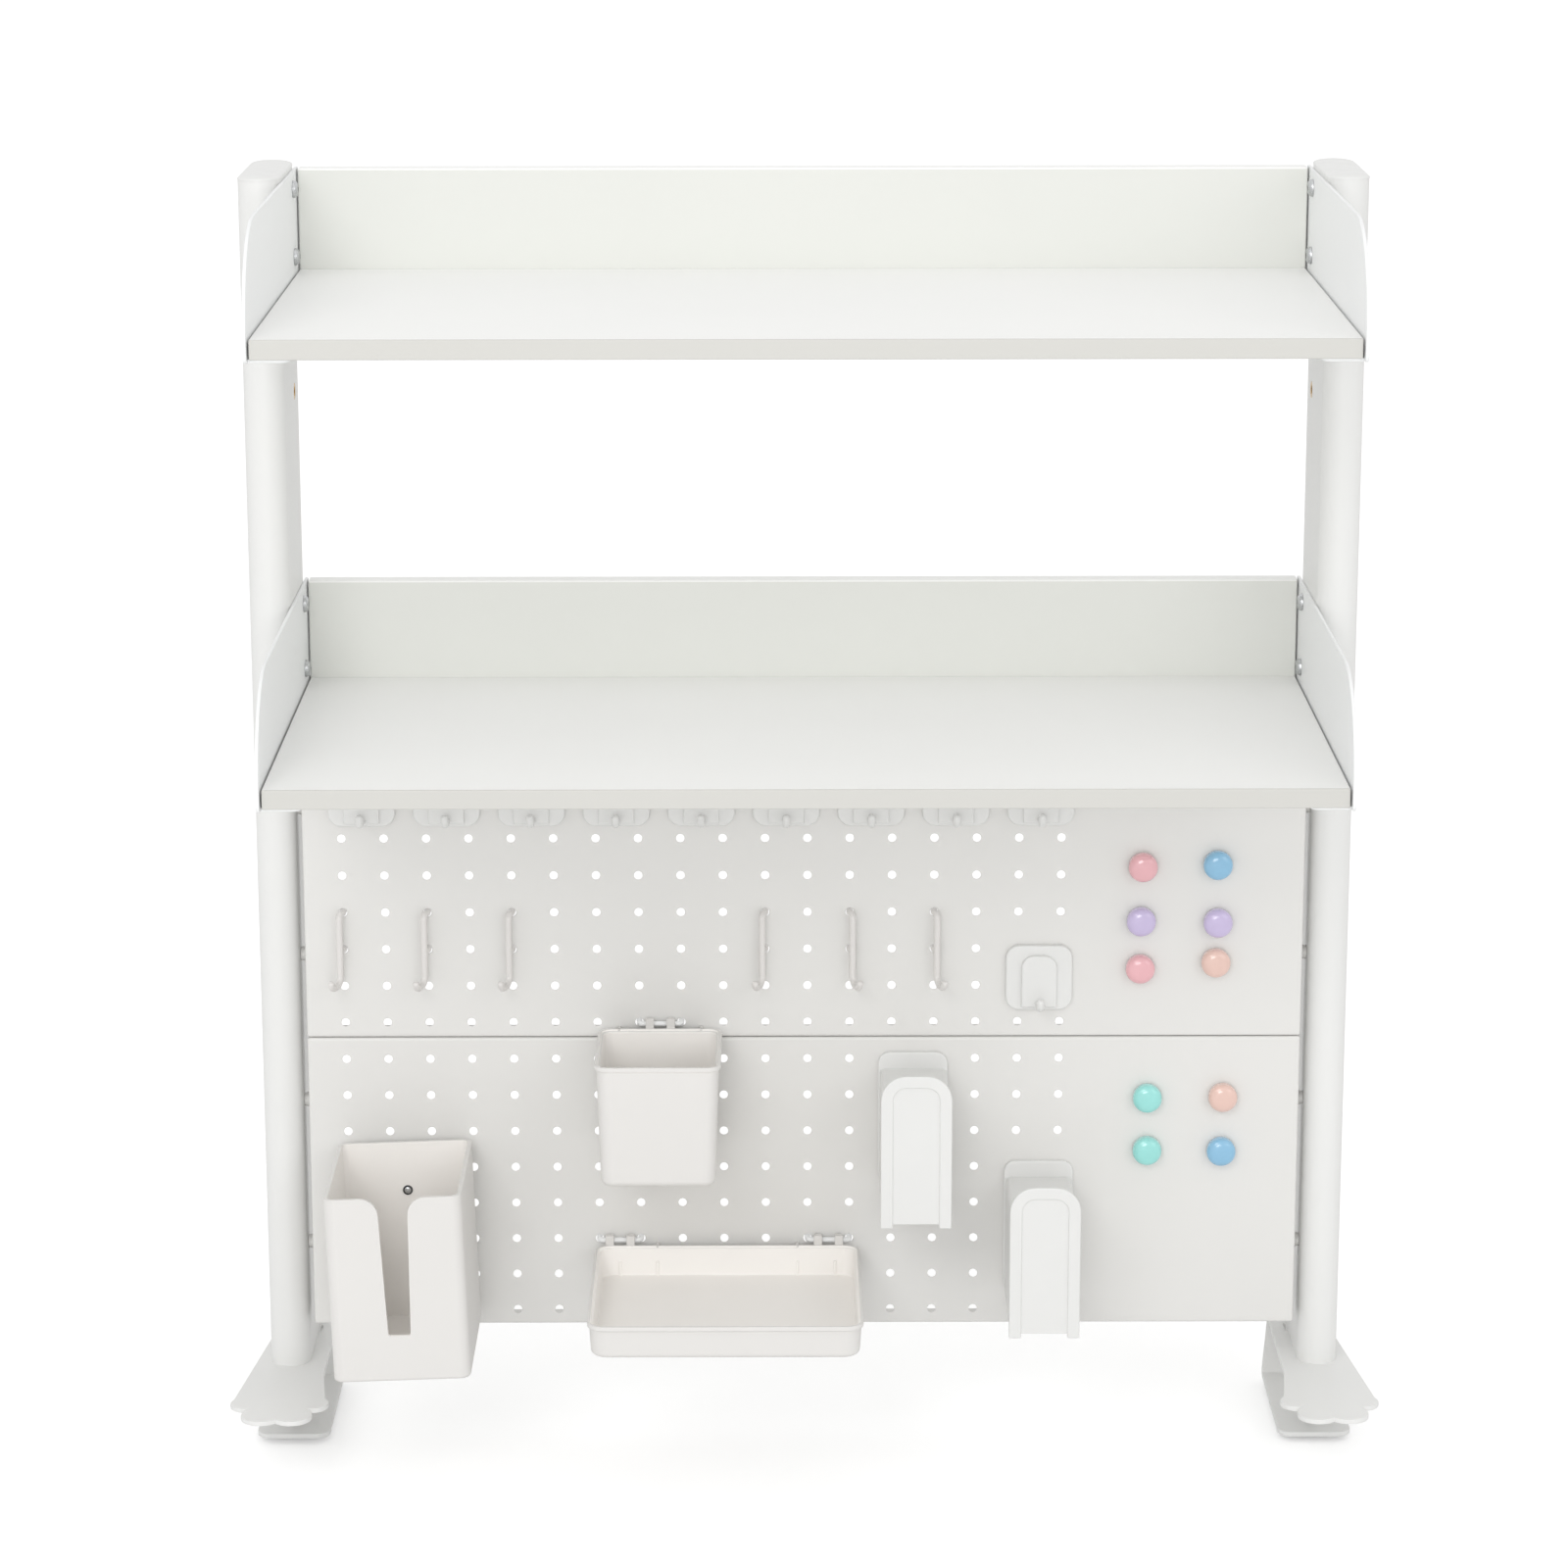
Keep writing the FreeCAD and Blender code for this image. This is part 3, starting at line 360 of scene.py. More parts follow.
def cut_across(bm, faces, cuts):
    """Cuts faces with planes, each given by an axis number and a place along it."""
    for axis, place in cuts:
        normal = Vector((0, 0, 0))
        normal[axis] = 1
        whole = {g for f in faces if f.is_valid for g in (f, *f.edges, *f.verts)}
        made = bmesh.ops.bisect_plane(bm, geom=list(whole), dist=1e-7, plane_co=normal * place, plane_no=normal)
        faces = [g for g in made["geom"] if isinstance(g, bmesh.types.BMFace)]
    return faces


def punched(bm, patches, radius, lip):
    """Turns each four-sided patch, given with its centre, into a round hole with a rolled lip.

    The first ring lies a hair below its border: the bridge finds which way to turn from that step.
    """
    borders = list({edge for face, centre in patches for edge in face.edges})
    bmesh.ops.bisect_edges(bm, edges=borders, cuts=HOLE_STEPS // 4 - 1)
    for face, centre in patches:
        border = list(face.edges)
        inward = -face.normal
        turn = inward.to_track_quat("Z", "Y").to_matrix().to_4x4()
        bmesh.ops.delete(bm, geom=[face], context="FACES_ONLY")
        for reach, depth in ((radius + lip, lip * 0.05), (radius + lip * 0.3, lip * 0.35), (radius, lip)):
            place = Matrix.Translation(Vector(centre) + inward * depth) @ turn
            made = bmesh.ops.create_circle(bm, cap_ends=False, radius=reach, segments=HOLE_STEPS, matrix=place)
            ring = list({edge for vert in made["verts"] for edge in vert.link_edges})
            bmesh.ops.bridge_loops(bm, edges=border + ring)
            border = ring


def thickened(bm, wall):
    """Gives an open shell, whose faces point out, a wall on its inner side."""
    bmesh.ops.solidify(bm, geom=list(bm.faces), thickness=wall)
    return bm


def lined(bm, middle):
    """Gives a hollow's inside, the faces that look to its middle, the second of the solid's finishes: here the paler
    painted-light inside colour.
    """
    bm.normal_update()
    for face in bm.faces:
        if (middle - face.calc_center_median()).dot(face.normal) > 0:
            face.material_index = 1
    return bm


def mirrored(bm):
    bmesh.ops.scale(bm, vec=(-1, 1, 1), verts=bm.verts)
    bmesh.ops.reverse_faces(bm, faces=bm.faces)
    return bm


def on_side(bm, side):
    """A solid made for the right side, set on the side asked for."""
    return mirrored(bm) if side < 0 else bm


def piece(name, body, nodes, slot, *solids):
    """One object from pairs of solid and finish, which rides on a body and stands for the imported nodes.

    Where a solid wears two finishes, the pair's second half is both, and its faces' material index chooses.
    """
    whole = bmesh.new()
    mesh = bpy.data.meshes.new(name)
    finishes = []
    for solid, coating in solids:
        coatings = coating if isinstance(coating, tuple) else (coating,)
        for one in coatings:
            if one not in finishes:
                finishes.append(one)
                mesh.materials.append(finish(one))
        for face in solid.faces:
            face.smooth = True
            face.material_index = finishes.index(coatings[face.material_index])
        part = bpy.data.meshes.new("part")
        solid.to_mesh(part)
        solid.free()
        whole.from_mesh(part)
        bpy.data.meshes.remove(part)
    whole.to_mesh(mesh)
    whole.free()
    mesh.set_sharp_from_angle(angle=math.radians(38))
    obj = bpy.data.objects.new(name, mesh)
    bpy.context.scene.collection.objects.link(obj)
    even = obj.modifiers.new("even_shading", "WEIGHTED_NORMAL")
    even.keep_sharp = True
    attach(obj, body)
    if nodes:
        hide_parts(*nodes)
    return obj


def redressed(node, coating):
    """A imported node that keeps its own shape, with a better finish."""
    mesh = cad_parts[node].data
    mesh.materials.clear()
    mesh.materials.append(finish(coating))


# ---------------------------------------------------------------- posts
def flat_oval(bm, low, high, grow=0.0):
    """Ring of edges of a flat oval between two corners, at the lower one's height."""
    radius = (high.x - low.x) / 2 + grow
    centre = Vector(((low.x + high.x) / 2, low.y - grow + radius, low.z))
    place = Matrix.Translation(centre) @ Matrix.Rotation(math.pi / 48, 4, "Z")
    made = bmesh.ops.create_circle(bm, cap_ends=False, radius=radius, segments=48, matrix=place)
    far = [v for v in made["verts"] if v.co.y > centre.y]
    bmesh.ops.translate(bm, verts=far, vec=(0, high.y - low.y + 2 * grow - 2 * radius, 0))
    return list({edge for vert in made["verts"] for edge in vert.link_edges})


def right_box(name, side):
    """A node's box, as it is on the right side."""
    low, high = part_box(name)
    if side < 0:
        low, high = Vector((-high.x, low.y, low.z)), Vector((-low.x, high.y, high.z))
    return low, high


def post_tube(side_name, side):
    """Flat-oval tube, open at both ends, with a hole for the spare thread insert."""
    low, high = right_box(side_name + "_post", side)
    insert_low, insert_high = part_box("post_thread_inserts")
    centre = Vector((low.x, (insert_low.y + insert_high.y) / 2, (insert_low.z + insert_high.z) / 2))
    bm = bmesh.new()
    drawn_out(bm, flat_oval(bm, low, high), (0, 0, high.z - low.z))
    outward(bm)
    inner = [f for f in bm.faces if f.normal.x < -0.99 and f.calc_area() > mm(1) * 0.1]
    reach = mm(8)
    cut_across(
        bm, inner,
        [(1, centre.y - reach), (1, centre.y + reach), (2, centre.z - reach), (2, centre.z + reach)],
    )
    bm.faces.ensure_lookup_table()
    patch = min(bm.faces, key=lambda f: (f.calc_center_median() - centre).length)
    bm.normal_update()
    punched(bm, [(patch, Vector((patch.calc_center_median().x, centre.y, centre.z)))], mm(5), mm(0.4))
    thickened(bm, mm(1.5))
    return on_side(bm, side)


def shrunk(bm, ring, ends, radius, smaller):
    """Draws each half of a flat oval's ring in toward its own end's centre."""
    verts = {v for edge in ring for v in edge.verts}
    middle = (ends[0].y + ends[1].y) / 2
    for centre, near in zip(ends, (True, False)):
        half = [v for v in verts if (v.co.y < middle) == near]
        scale = (smaller / radius, smaller / radius, 1)
        bmesh.ops.scale(bm, vec=scale, verts=half, space=Matrix.Translation(-centre))


def post_cap(side):
    """Moulded cap: a thin upright edge under a low crown that rounds over to a flat top."""
    low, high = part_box("right_post")
    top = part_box("post_caps")[1].z
    radius = (high.x - low.x) / 2
    ends = [Vector(((low.x + high.x) / 2, y, 0)) for y in (low.y + radius, high.y - radius)]
    wide = radius + mm(0.3)
    bm = bmesh.new()
    ring = flat_oval(bm, Vector((low.x, low.y, high.z)), high, wide - radius)
    bmesh.ops.edgeloop_fill(bm, edges=ring)
    edge, crown, run, steps = mm(0.7), top - high.z - mm(0.7), mm(9), 8
    ring = drawn_out(bm, ring, (0, 0, edge))
    for i in range(steps):
        near, far = (math.radians(90 * (i + k) / steps) for k in (0, 1))
        ring = drawn_out(bm, ring, (0, 0, crown * (math.sin(far) - math.sin(near))))
        start = wide - run * (1 - math.cos(near))
        shrunk(bm, ring, ends, start, wide - run * (1 - math.cos(far)))
    bmesh.ops.edgeloop_fill(bm, edges=ring)
    return on_side(outward(bm), side)


def thread_insert(side):
    """Brass insert with a threaded bore, cut as rings at the thread's pitch."""
    low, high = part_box("post_thread_inserts")
    centre = Vector((high.x, (low.y + high.y) / 2, (low.z + high.z) / 2))
    outer, depth, pitch = 4.9, 9.9, 1.0
    profile = [(0, 3.4), (0, outer), (-depth, outer), (-depth, 3.0)]
    for i in range(int(depth / pitch)):
        profile += [(-depth + (i + 0.25) * pitch, 2.6), (-depth + (i + 0.75) * pitch, 3.0)]
    profile.append((0, 3.4))
    return on_side(lathe(profile, centre, (1, 0, 0), 24), side)


class ORGANIZER_OT_posts(bpy.types.Operator):
    """Adds the two flat-oval posts, their caps, thread inserts and foot hardware"""

    bl_idname = "organizer.posts"
    bl_label = "Posts"

    def execute(self, context):
        for name, side in SIDES:
            tube = post_tube(name, side)
            piece(name + "_post_tube", "frame", [name + "_post"], "white_steel", (tube, "powder_coated_steel"))
        caps = [(post_cap(side), "abs_cap_plastic") for name, side in SIDES]
        piece("post_end_caps", "frame", ["post_caps"], "white_plastic", *caps)
        inserts = [(thread_insert(side), "brass") for name, side in SIDES]
        piece("spare_thread_inserts", "frame", ["post_thread_inserts"], "brass_insert", *inserts)
        redressed("post_foot_plugs", "nylon")
        redressed("post_base_screws", "zinc_plated_steel")
        return {"FINISHED"}


# ---------------------------------------------------------------- shelves
def banded_board(name, node, coatings, axis, toward):
    """Laminated board with a band on one edge: axis is the number of the band's direction, and toward its sign."""
    low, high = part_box(node)
    band = bpy.context.scene.organizer_sizes.edge_band
    seam = low[axis] + band if toward < 0 else high[axis] - band
    bm = softened(block(low, high), mm(0.8), 3)
    cut_across(bm, list(bm.faces), [(axis, seam)])
    for face in bm.faces:
        if (face.calc_center_median()[axis] - seam) * toward > 0:
            face.material_index = 1
    return piece(name, "frame", [node], "white_laminate", (bm, coatings))


def side_plate(shelf, side):
    """Sheet plate with a large upper front corner, and its flange under the shelf."""
    sizes = bpy.context.scene.organizer_sizes
    low, high = right_box(f"{shelf}_{'left' if side < 0 else 'right'}_side_plate", side)
    shelf_low, shelf_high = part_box(shelf + "_shelf_board")
    sheet = mm(2)
    plate = block((high.x - sheet, low.y, low.z), high)
    front_top = edges_where(plate, lambda m, way: abs(way.x) > 0.9 and m.y < low.y + sheet and m.z > high.z - sheet)
    bevelled(plate, front_top, sizes.plate_radius, 20)
    front_low = edges_where(plate, lambda m, way: abs(way.x) > 0.9 and m.y < low.y + sheet and m.z < low.z + sheet)
    bevelled(plate, front_low, mm(5), 6)
    softened(plate, mm(0.5), 2)
    flange = block(
        (low.x, shelf_low.y + mm(4), low.z), (high.x - sheet + mm(0.3), shelf_high.y - mm(4), low.z + sheet),
        2, mm(4), 4, lambda middle: middle.x < high.x - mm(10),
    )
    softened(flange, mm(0.4), 2)
    return [(on_side(plate, side), "powder_coated_plate"), (on_side(flange, side), "powder_coated_plate")]


def socket_head(centre, axis, radius, height, socket):
    """Button head with a hexagon socket, its flat side at centre and its dome along the axis; sizes in mm."""
    axis = Vector(axis)
    dome = [(0, 0), (0, radius * 0.96), (height * 0.08, radius)]
    for i in range(1, 6):
        angle = math.radians(18 * i)
        reach = socket * 1.25 + (radius - socket * 1.25) * math.cos(angle)
        dome.append((height * (0.08 + 0.92 * math.sin(angle)), reach))
    bm = bmesh.new()
    side = axis.orthogonal().normalized()
    verts = [bm.verts.new(Vector(centre) + axis * mm(along) + side * mm(reach)) for along, reach in dome]
    edges = [bm.edges.new(pair) for pair in zip(verts, verts[1:])]
    bmesh.ops.spin(
        bm, geom=verts + edges, cent=centre, axis=axis, dvec=(0, 0, 0), angle=2 * math.pi, steps=24,
        use_merge=True, use_duplicate=False,
    )
    bmesh.ops.remove_doubles(bm, verts=bm.verts, dist=1e-6)
    rim = [edge for edge in bm.edges if edge.is_boundary]
    turn = axis.to_track_quat("Z", "Y").to_matrix().to_4x4()
    place = Matrix.Translation(Vector(centre) + axis * mm(height)) @ turn
    made = bmesh.ops.create_circle(bm, cap_ends=False, radius=mm(socket), segments=6, matrix=place)
    flats = list({edge for vert in made["verts"] for edge in vert.link_edges})
    bmesh.ops.bisect_edges(bm, edges=flats, cuts=3)
    hexagon = [edge for edge in bm.edges if edge.is_wire]
    bmesh.ops.bridge_loops(bm, edges=rim + hexagon)
    floor = drawn_out(bm, hexagon, axis * -mm(height * 0.6))
    bmesh.ops.edgeloop_fill(bm, edges=floor)
    return outward(bm)


class ORGANIZER_OT_shelves(bpy.types.Operator):
    """Adds the two shelves with their rear panels, side plates, bolts and flange screws"""

    bl_idname = "organizer.shelves"
    bl_label = "Shelves"

    def execute(self, context):
        bolts, screws = [], []
        bolt_low, bolt_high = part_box("shelf_bolts")
        middle_y = (bolt_low.y + bolt_high.y) / 2
        for shelf in SHELVES:
            # the front band wears the darker painted-shade band colour
            faces = ("melamine_laminate", "melamine_edge_band_painted_shade")
            banded_board(shelf + "_shelf", shelf + "_shelf_board", faces, 1, -1)
            # the panel's upright faces wear the painted-shade melamine, its upward top strip the shelves' lighter tone
            faces = ("melamine_panel_painted_shade", "melamine_laminate")
            banded_board(shelf + "_rear_panel", shelf + "_back_panel", faces, 2, 1)
            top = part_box(shelf + "_shelf_board")[1].z
            low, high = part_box(shelf + "_right_side_plate")
            for name, side in SIDES:
                plate = side_plate(shelf, side)
                node = f"{shelf}_{name}_side_plate"
                piece(f"{shelf}_{name}_end_plate", "frame", [node], "white_steel", *plate)
                face_x = (high.x - mm(2)) * side
                for rise in (10, 49.5):
                    head = socket_head((face_x, middle_y, top + mm(rise)), (-side, 0, 0), 5.2, 3.2, 1.7)
                    bolts.append((head, "zinc_plated_steel"))
                for y in (-170, -58, 54):
                    place = ((low.x + mm(10)) * side, mm(y), low.z)
                    screws.append((socket_head(place, (0, 0, -1), 3.4, 1.6, 1.1), "zinc_plated_steel"))
        piece("shelf_bolt_heads", "frame", ["shelf_bolts"], "steel_fastener", *bolts)
        piece("shelf_flange_screws", "frame", [], "steel_fastener", *screws)
        return {"FINISHED"}


# ---------------------------------------------------------------- pegboards
def perforated_tray(board):
    """Folded sheet with its grid of round holes."""
    sizes = bpy.context.scene.organizer_sizes
    low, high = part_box(board + "_pegboard")
    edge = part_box("right_post")[0].x - sizes.board_gap
    bm = bmesh.new()
    middle = (low.z + high.z) / 2
    place = Matrix.Translation((0, 0, middle)) @ Matrix.Rotation(math.pi / 2, 4, "X")
    place = place @ Matrix.Diagonal((edge, (high.z - low.z) / 2, 1, 1))
    bmesh.ops.create_grid(bm, x_segments=1, y_segments=1, size=1, matrix=place)
    columns = [-edge + sizes.first_column + i * sizes.hole_pitch_x for i in range(18)]
    rows = [low.z + sizes.first_row + j * sizes.hole_pitch_z for j in range(8)]
    cuts = [(0, columns[0] - sizes.hole_pitch_x / 2)] + [(0, x + sizes.hole_pitch_x / 2) for x in columns]
    cuts += [(2, rows[0] - mm(6))] + [(2, z + sizes.hole_pitch_z / 2) for z in rows]
    faces = cut_across(bm, list(bm.faces), cuts)
    bm.normal_update()
    patches = []
    for face in faces:
        spot = face.calc_center_median()
        x = min(columns, key=lambda c: abs(c - spot.x))
        z = min(rows, key=lambda r: abs(r - spot.z))
        if abs(x - spot.x) < mm(1) and abs(z - spot.z) < mm(3) and face.calc_area() > mm(10) * mm(10):
            patches.append((face, Vector((x, 0, z))))
    punched(bm, patches, sizes.hole_radius, sizes.hole_lip)
    border = [e for e in bm.edges if e.is_boundary and max(abs(v.co.x) for v in e.verts) > edge - 1e-5]
    border += [
        e for e in bm.edges
        if e.is_boundary and e not in border
        and (max(v.co.z for v in e.verts) < low.z + 1e-5 or min(v.co.z for v in e.verts) > high.z - 1e-5)
    ]
    drawn_out(bm, border, (0, high.y, 0))
    outward(bm)
    if sum(f.calc_area() * f.normal.y for f in bm.faces) > 0:
        bmesh.ops.reverse_faces(bm, faces=bm.faces)
    softened(bm, sizes.board_edge, 3, 60)
    return thickened(bm, sizes.board_sheet)


def board_screw_places():
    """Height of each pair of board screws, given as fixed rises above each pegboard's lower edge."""
    places = []
    for board in BOARDS:
        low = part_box(board + "_pegboard")[0].z
        places += [low + mm(47.3), low + mm(137.3)]
    return places


class ORGANIZER_OT_pegboards(bpy.types.Operator):
    """Adds the two perforated boards with their stand-off bosses and screws"""

    bl_idname = "organizer.pegboards"
    bl_label = "Pegboards"

    def execute(self, context):
        low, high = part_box("pegboard_screws")
        middle_y = (low.y + high.y) / 2
        post_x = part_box("right_post")[0].x
        gap = context.scene.organizer_sizes.board_gap
        heights = board_screw_places()
        heads = []
        for k, board in enumerate(BOARDS):
            solids = [(perforated_tray(board), "powder_coated_board")]
            for z in heights[2 * k:2 * k + 2]:
                for name, side in SIDES:
                    place = ((post_x - gap) * side, middle_y, z)
                    boss = lathe([(0, 0), (0, 4.6), (gap * 1000, 4.0), (gap * 1000, 0)], place, (side, 0, 0), 24)
                    solids.append((softened(boss, mm(0.3)), "powder_coated_board"))
                    seat = ((post_x - gap - mm(1)) * side, middle_y, z)
                    heads.append((socket_head(seat, (-side, 0, 0), 3.8, 2.0, 1.25), "zinc_plated_steel"))
            piece(board + "_perforated_board", "frame", [board + "_pegboard"], "white_board", *solids)
        piece("pegboard_screw_heads", "frame", ["pegboard_screws"], "steel_fastener", *heads)
        return {"FINISHED"}


# ---------------------------------------------------------------- desk clamps
def arc_to(bm, vert, centre, end):
    """Carries a vertex anticlockwise round a centre to the direction of an end point; returns the last vertex."""
    start, finish_at = vert.co - centre, end - centre
    angle = (math.atan2(finish_at.y, finish_at.x) - math.atan2(start.y, start.x)) % (2 * math.pi)
    steps = max(3, round(abs(math.degrees(angle)) / 12))
    made = bmesh.ops.spin(
        bm, geom=[vert], cent=centre, axis=(0, 0, 1), dvec=(0, 0, 0), angle=angle, steps=steps, use_duplicate=False
    )
    return [g for g in made["geom_last"] if isinstance(g, bmesh.types.BMVert)][0]


def line_to(bm, vert, end):
    new = bm.verts.new(end)
    bm.edges.new((vert, new))
    return new


def crossing(a, ra, b, rb, outer):
    """Where two circles cross, on the side of an outer point."""
    way = (b - a).normalized()
    gap = (b - a).length
    along = (gap * gap + ra * ra - rb * rb) / (2 * gap)
    off = math.sqrt(ra * ra - along * along)
    square = Vector((-way.y, way.x, 0))
    spots = [a + way * along + square * off * s for s in (-1, 1)]
    return min(spots, key=lambda p: (p - outer).length)


def clamp_bracket(side):
    """One bent sheet: cloud-edged top plate, back and lower jaw."""
    sheet = bpy.context.scene.organizer_sizes.clamp_sheet
    post_low, post_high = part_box("right_post")
    low, high = right_box("right_clamp_bracket", 1)
    middle, top, back = (post_low.x + post_high.x) / 2, high.z, high.y
    bend = mm(4.5)
    inner, waist = post_low.x - mm(10), mm(-13)
    outer_lobe, front_lobe = mm(10.25), mm(12)
    wide = [Vector((middle + mm(19) * s, mm(-60), top)) for s in (-1, 1)]
    near = [Vector((middle + mm(9) * s, mm(-79), top)) for s in (-1, 1)]
    bm = bmesh.new()
    vert = first = bm.verts.new((inner, back - bend, top))
    vert = line_to(bm, vert, (inner, waist, top))
    vert = line_to(bm, vert, wide[0] + Vector((-outer_lobe * 0.72, outer_lobe * 0.69, 0)))
    vert = arc_to(bm, vert, wide[0], crossing(wide[0], outer_lobe, near[0], front_lobe, Vector((inner, mm(-90), top))))
    vert = arc_to(bm, vert, near[0], crossing(near[0], front_lobe, near[1], front_lobe, Vector((middle, mm(-99), top))))
    vert = arc_to(
        bm, vert, near[1],
        crossing(near[1], front_lobe, wide[1], outer_lobe, Vector((middle + mm(40), mm(-90), top))),
    )
    vert = arc_to(bm, vert, wide[1], wide[1] + Vector((outer_lobe * 0.86, outer_lobe * 0.51, 0)))
    last = line_to(bm, vert, (post_high.x, back - bend, top))
    hinge = bm.edges.new((last, first))
    bmesh.ops.edgeloop_fill(bm, edges=list(bm.edges))
    outline = list(bm.faces)
    made = bmesh.ops.spin(
        bm, geom=[hinge], cent=(0, back - bend, top - bend), axis=(1, 0, 0), dvec=(0, 0, 0), angle=-math.pi / 2,
        steps=5, use_duplicate=False,
    )
    ring = edge_ring(made["geom_last"])
    ring = drawn_out(bm, ring, (0, 0, low.z + bend - (top - bend)))
    jaw_inner, jaw_outer = post_low.x - mm(12.5), post_low.x + mm(31.5)
    for vert in {v for e in ring for v in e.verts}:
        vert.co.x = jaw_inner if vert.co.x < middle else jaw_outer
    made = bmesh.ops.spin(
        bm, geom=ring, cent=(0, back - bend, low.z + bend), axis=(1, 0, 0), dvec=(0, 0, 0), angle=-math.pi / 2,
        steps=5, use_duplicate=False,
    )
    ring = edge_ring(made["geom_last"])
    ring = drawn_out(bm, ring, (0, mm(-15) - (back - bend), 0))
    corners = list({v for e in ring for v in e.verts})
    bmesh.ops.bevel(
        bm, geom=corners, offset=mm(8), offset_type="OFFSET", affect="VERTICES", segments=6, profile=0.5, material=-1
    )
    slit = (post_low.x - mm(1.8), post_low.x - mm(0.6), mm(59), mm(71))
    faces = cut_across(bm, outline, [(0, slit[0]), (0, slit[1]), (1, slit[2]), (1, slit[3])])
    spot = Vector(((slit[0] + slit[1]) / 2, (slit[2] + slit[3]) / 2, top))
    hole = min(faces, key=lambda f: (f.calc_center_median() - spot).length)
    bmesh.ops.delete(bm, geom=[hole], context="FACES")
    outward(bm)
    if [f for f in bm.faces if f.normal.z < -0.9 and f.calc_center_median().z > 0]:
        bmesh.ops.reverse_faces(bm, faces=bm.faces)
    thickened(bm, sheet)
    softened(bm, mm(0.5), 2, 50)
    return on_side(bm, side)


def clamp_screw(side):
    """Socket-head screw under the lower jaw, its thread cut as rings at the 1 mm pitch."""
    low, high = right_box("right_clamp_screw", 1)
    centre = Vector(((low.x + high.x) / 2, (low.y + high.y) / 2, low.z))
    tall = (high.z - low.z) * 1000
    profile = [(3.26, 5.4), (3.26, 3.0)]
    for i in range(int(tall - 4.5)):
        profile += [(3.6 + i + 0.5, 2.55), (3.6 + i + 1.0, 3.0)]
    profile += [(tall - 0.6, 2.4), (tall, 1.6), (tall, 0)]
    head = socket_head(centre + Vector((0, 0, mm(3.26))), (0, 0, -1), 5.5, 3.26, 2.5)
    shaft = lathe([(3.2, 0)] + profile, centre, (0, 0, 1), 24)
    return [(on_side(solid, side), "black_oxide_steel") for solid in (head, shaft)]


def clamp_foot(side):
    """Nylon swivel foot: a disc with a raised rim and a boss round the screw's tip."""
    low, high = right_box("right_clamp_foot", 1)
    centre = Vector(((low.x + high.x) / 2, (low.y + high.y) / 2, low.z))
    profile = [
        (3.9, 0), (3.9, 3.06), (0, 3.06), (0, 5.4), (4.2, 5.8), (5.0, 7.0), (5.0, 11.0), (8.0, 11.0),
        (8.0, 9.0), (7.4, 8.4), (7.4, 0),
    ]
    return on_side(softened(lathe(profile, centre, (0, 0, 1), 40), mm(0.35), 2, 60), side)


class ORGANIZER_OT_clamps(bpy.types.Operator):
    """Adds the two desk clamps: bracket, screw and foot"""

    bl_idname = "organizer.clamps"
    bl_label = "Desk clamps"

    def execute(self, context):
        for name, side in SIDES:
            node = name + "_clamp"
            bracket = clamp_bracket(side)
            piece(node + "_plate", "frame", [node + "_bracket"], "white_steel", (bracket, "powder_coated_steel"))
            piece(node + "_spindle", name + "_screw", [node + "_screw"], "dark_screw", *clamp_screw(side))
            foot = clamp_foot(side)
            piece(node + "_pad", name + "_foot", [node + "_foot"], "inner_plastic", (foot, "nylon"))
        return {"FINISHED"}


# ---------------------------------------------------------------- hooks
def peg(x, z, front, back=mm(7.0), radius=2.2):
    """Peg with a rounded end, from a piece's back through a hole."""
    run = (back - front) * 1000
    profile = [(0, 0), (0, radius), (run - 1.0, radius), (run - 0.3, radius * 0.8), (run, radius * 0.4), (run, 0)]
    return lathe(profile, (x, front, z), (0, 1, 0), 16)


def plate_hook(node):
    """Rounded plate on two pegs, with a raised arch and a hook at its foot."""
    low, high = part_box(node)
    x, top = (low.x + high.x) / 2, high.z
    back, front = mm(-0.2), mm(-3.2)
    plate = block((low.x, front, low.z), (high.x, back, high.z), 1, mm(8), 8)
    softened(plate, mm(1.1), 3, 60, lambda middle: middle.y < front + mm(0.5))
    arch_low, arch_high = low.z + mm(2.2), top - mm(5.8)
    arch = block(
        (x - mm(10.5), front - mm(2.4), arch_low), (x + mm(10.5), front + mm(0.5), arch_high),
        1, mm(7.5), 8, lambda middle: middle.z > top - mm(12),
    )
    softened(arch, mm(1.0), 3, 60, lambda middle: middle.y < front - mm(1.5))
    root = arch_low + mm(2.3)
    reach = front - low.y - mm(2.3) - mm(4.5)
    hook = rod(
        mm(2.3), (x, front - mm(0.5), root), (0, -1, 0),
        [reach + mm(0.5), (mm(4.5), 90, (0, 0, 1)), mm(2.2)], 16, 0.9,
    )
    pegs = [peg(x + s * mm(12.5), top - mm(2.4), back - mm(0.5)) for s in (-1, 1)]
    return [(solid, "abs_plastic") for solid in (plate, arch, hook, *pegs)]


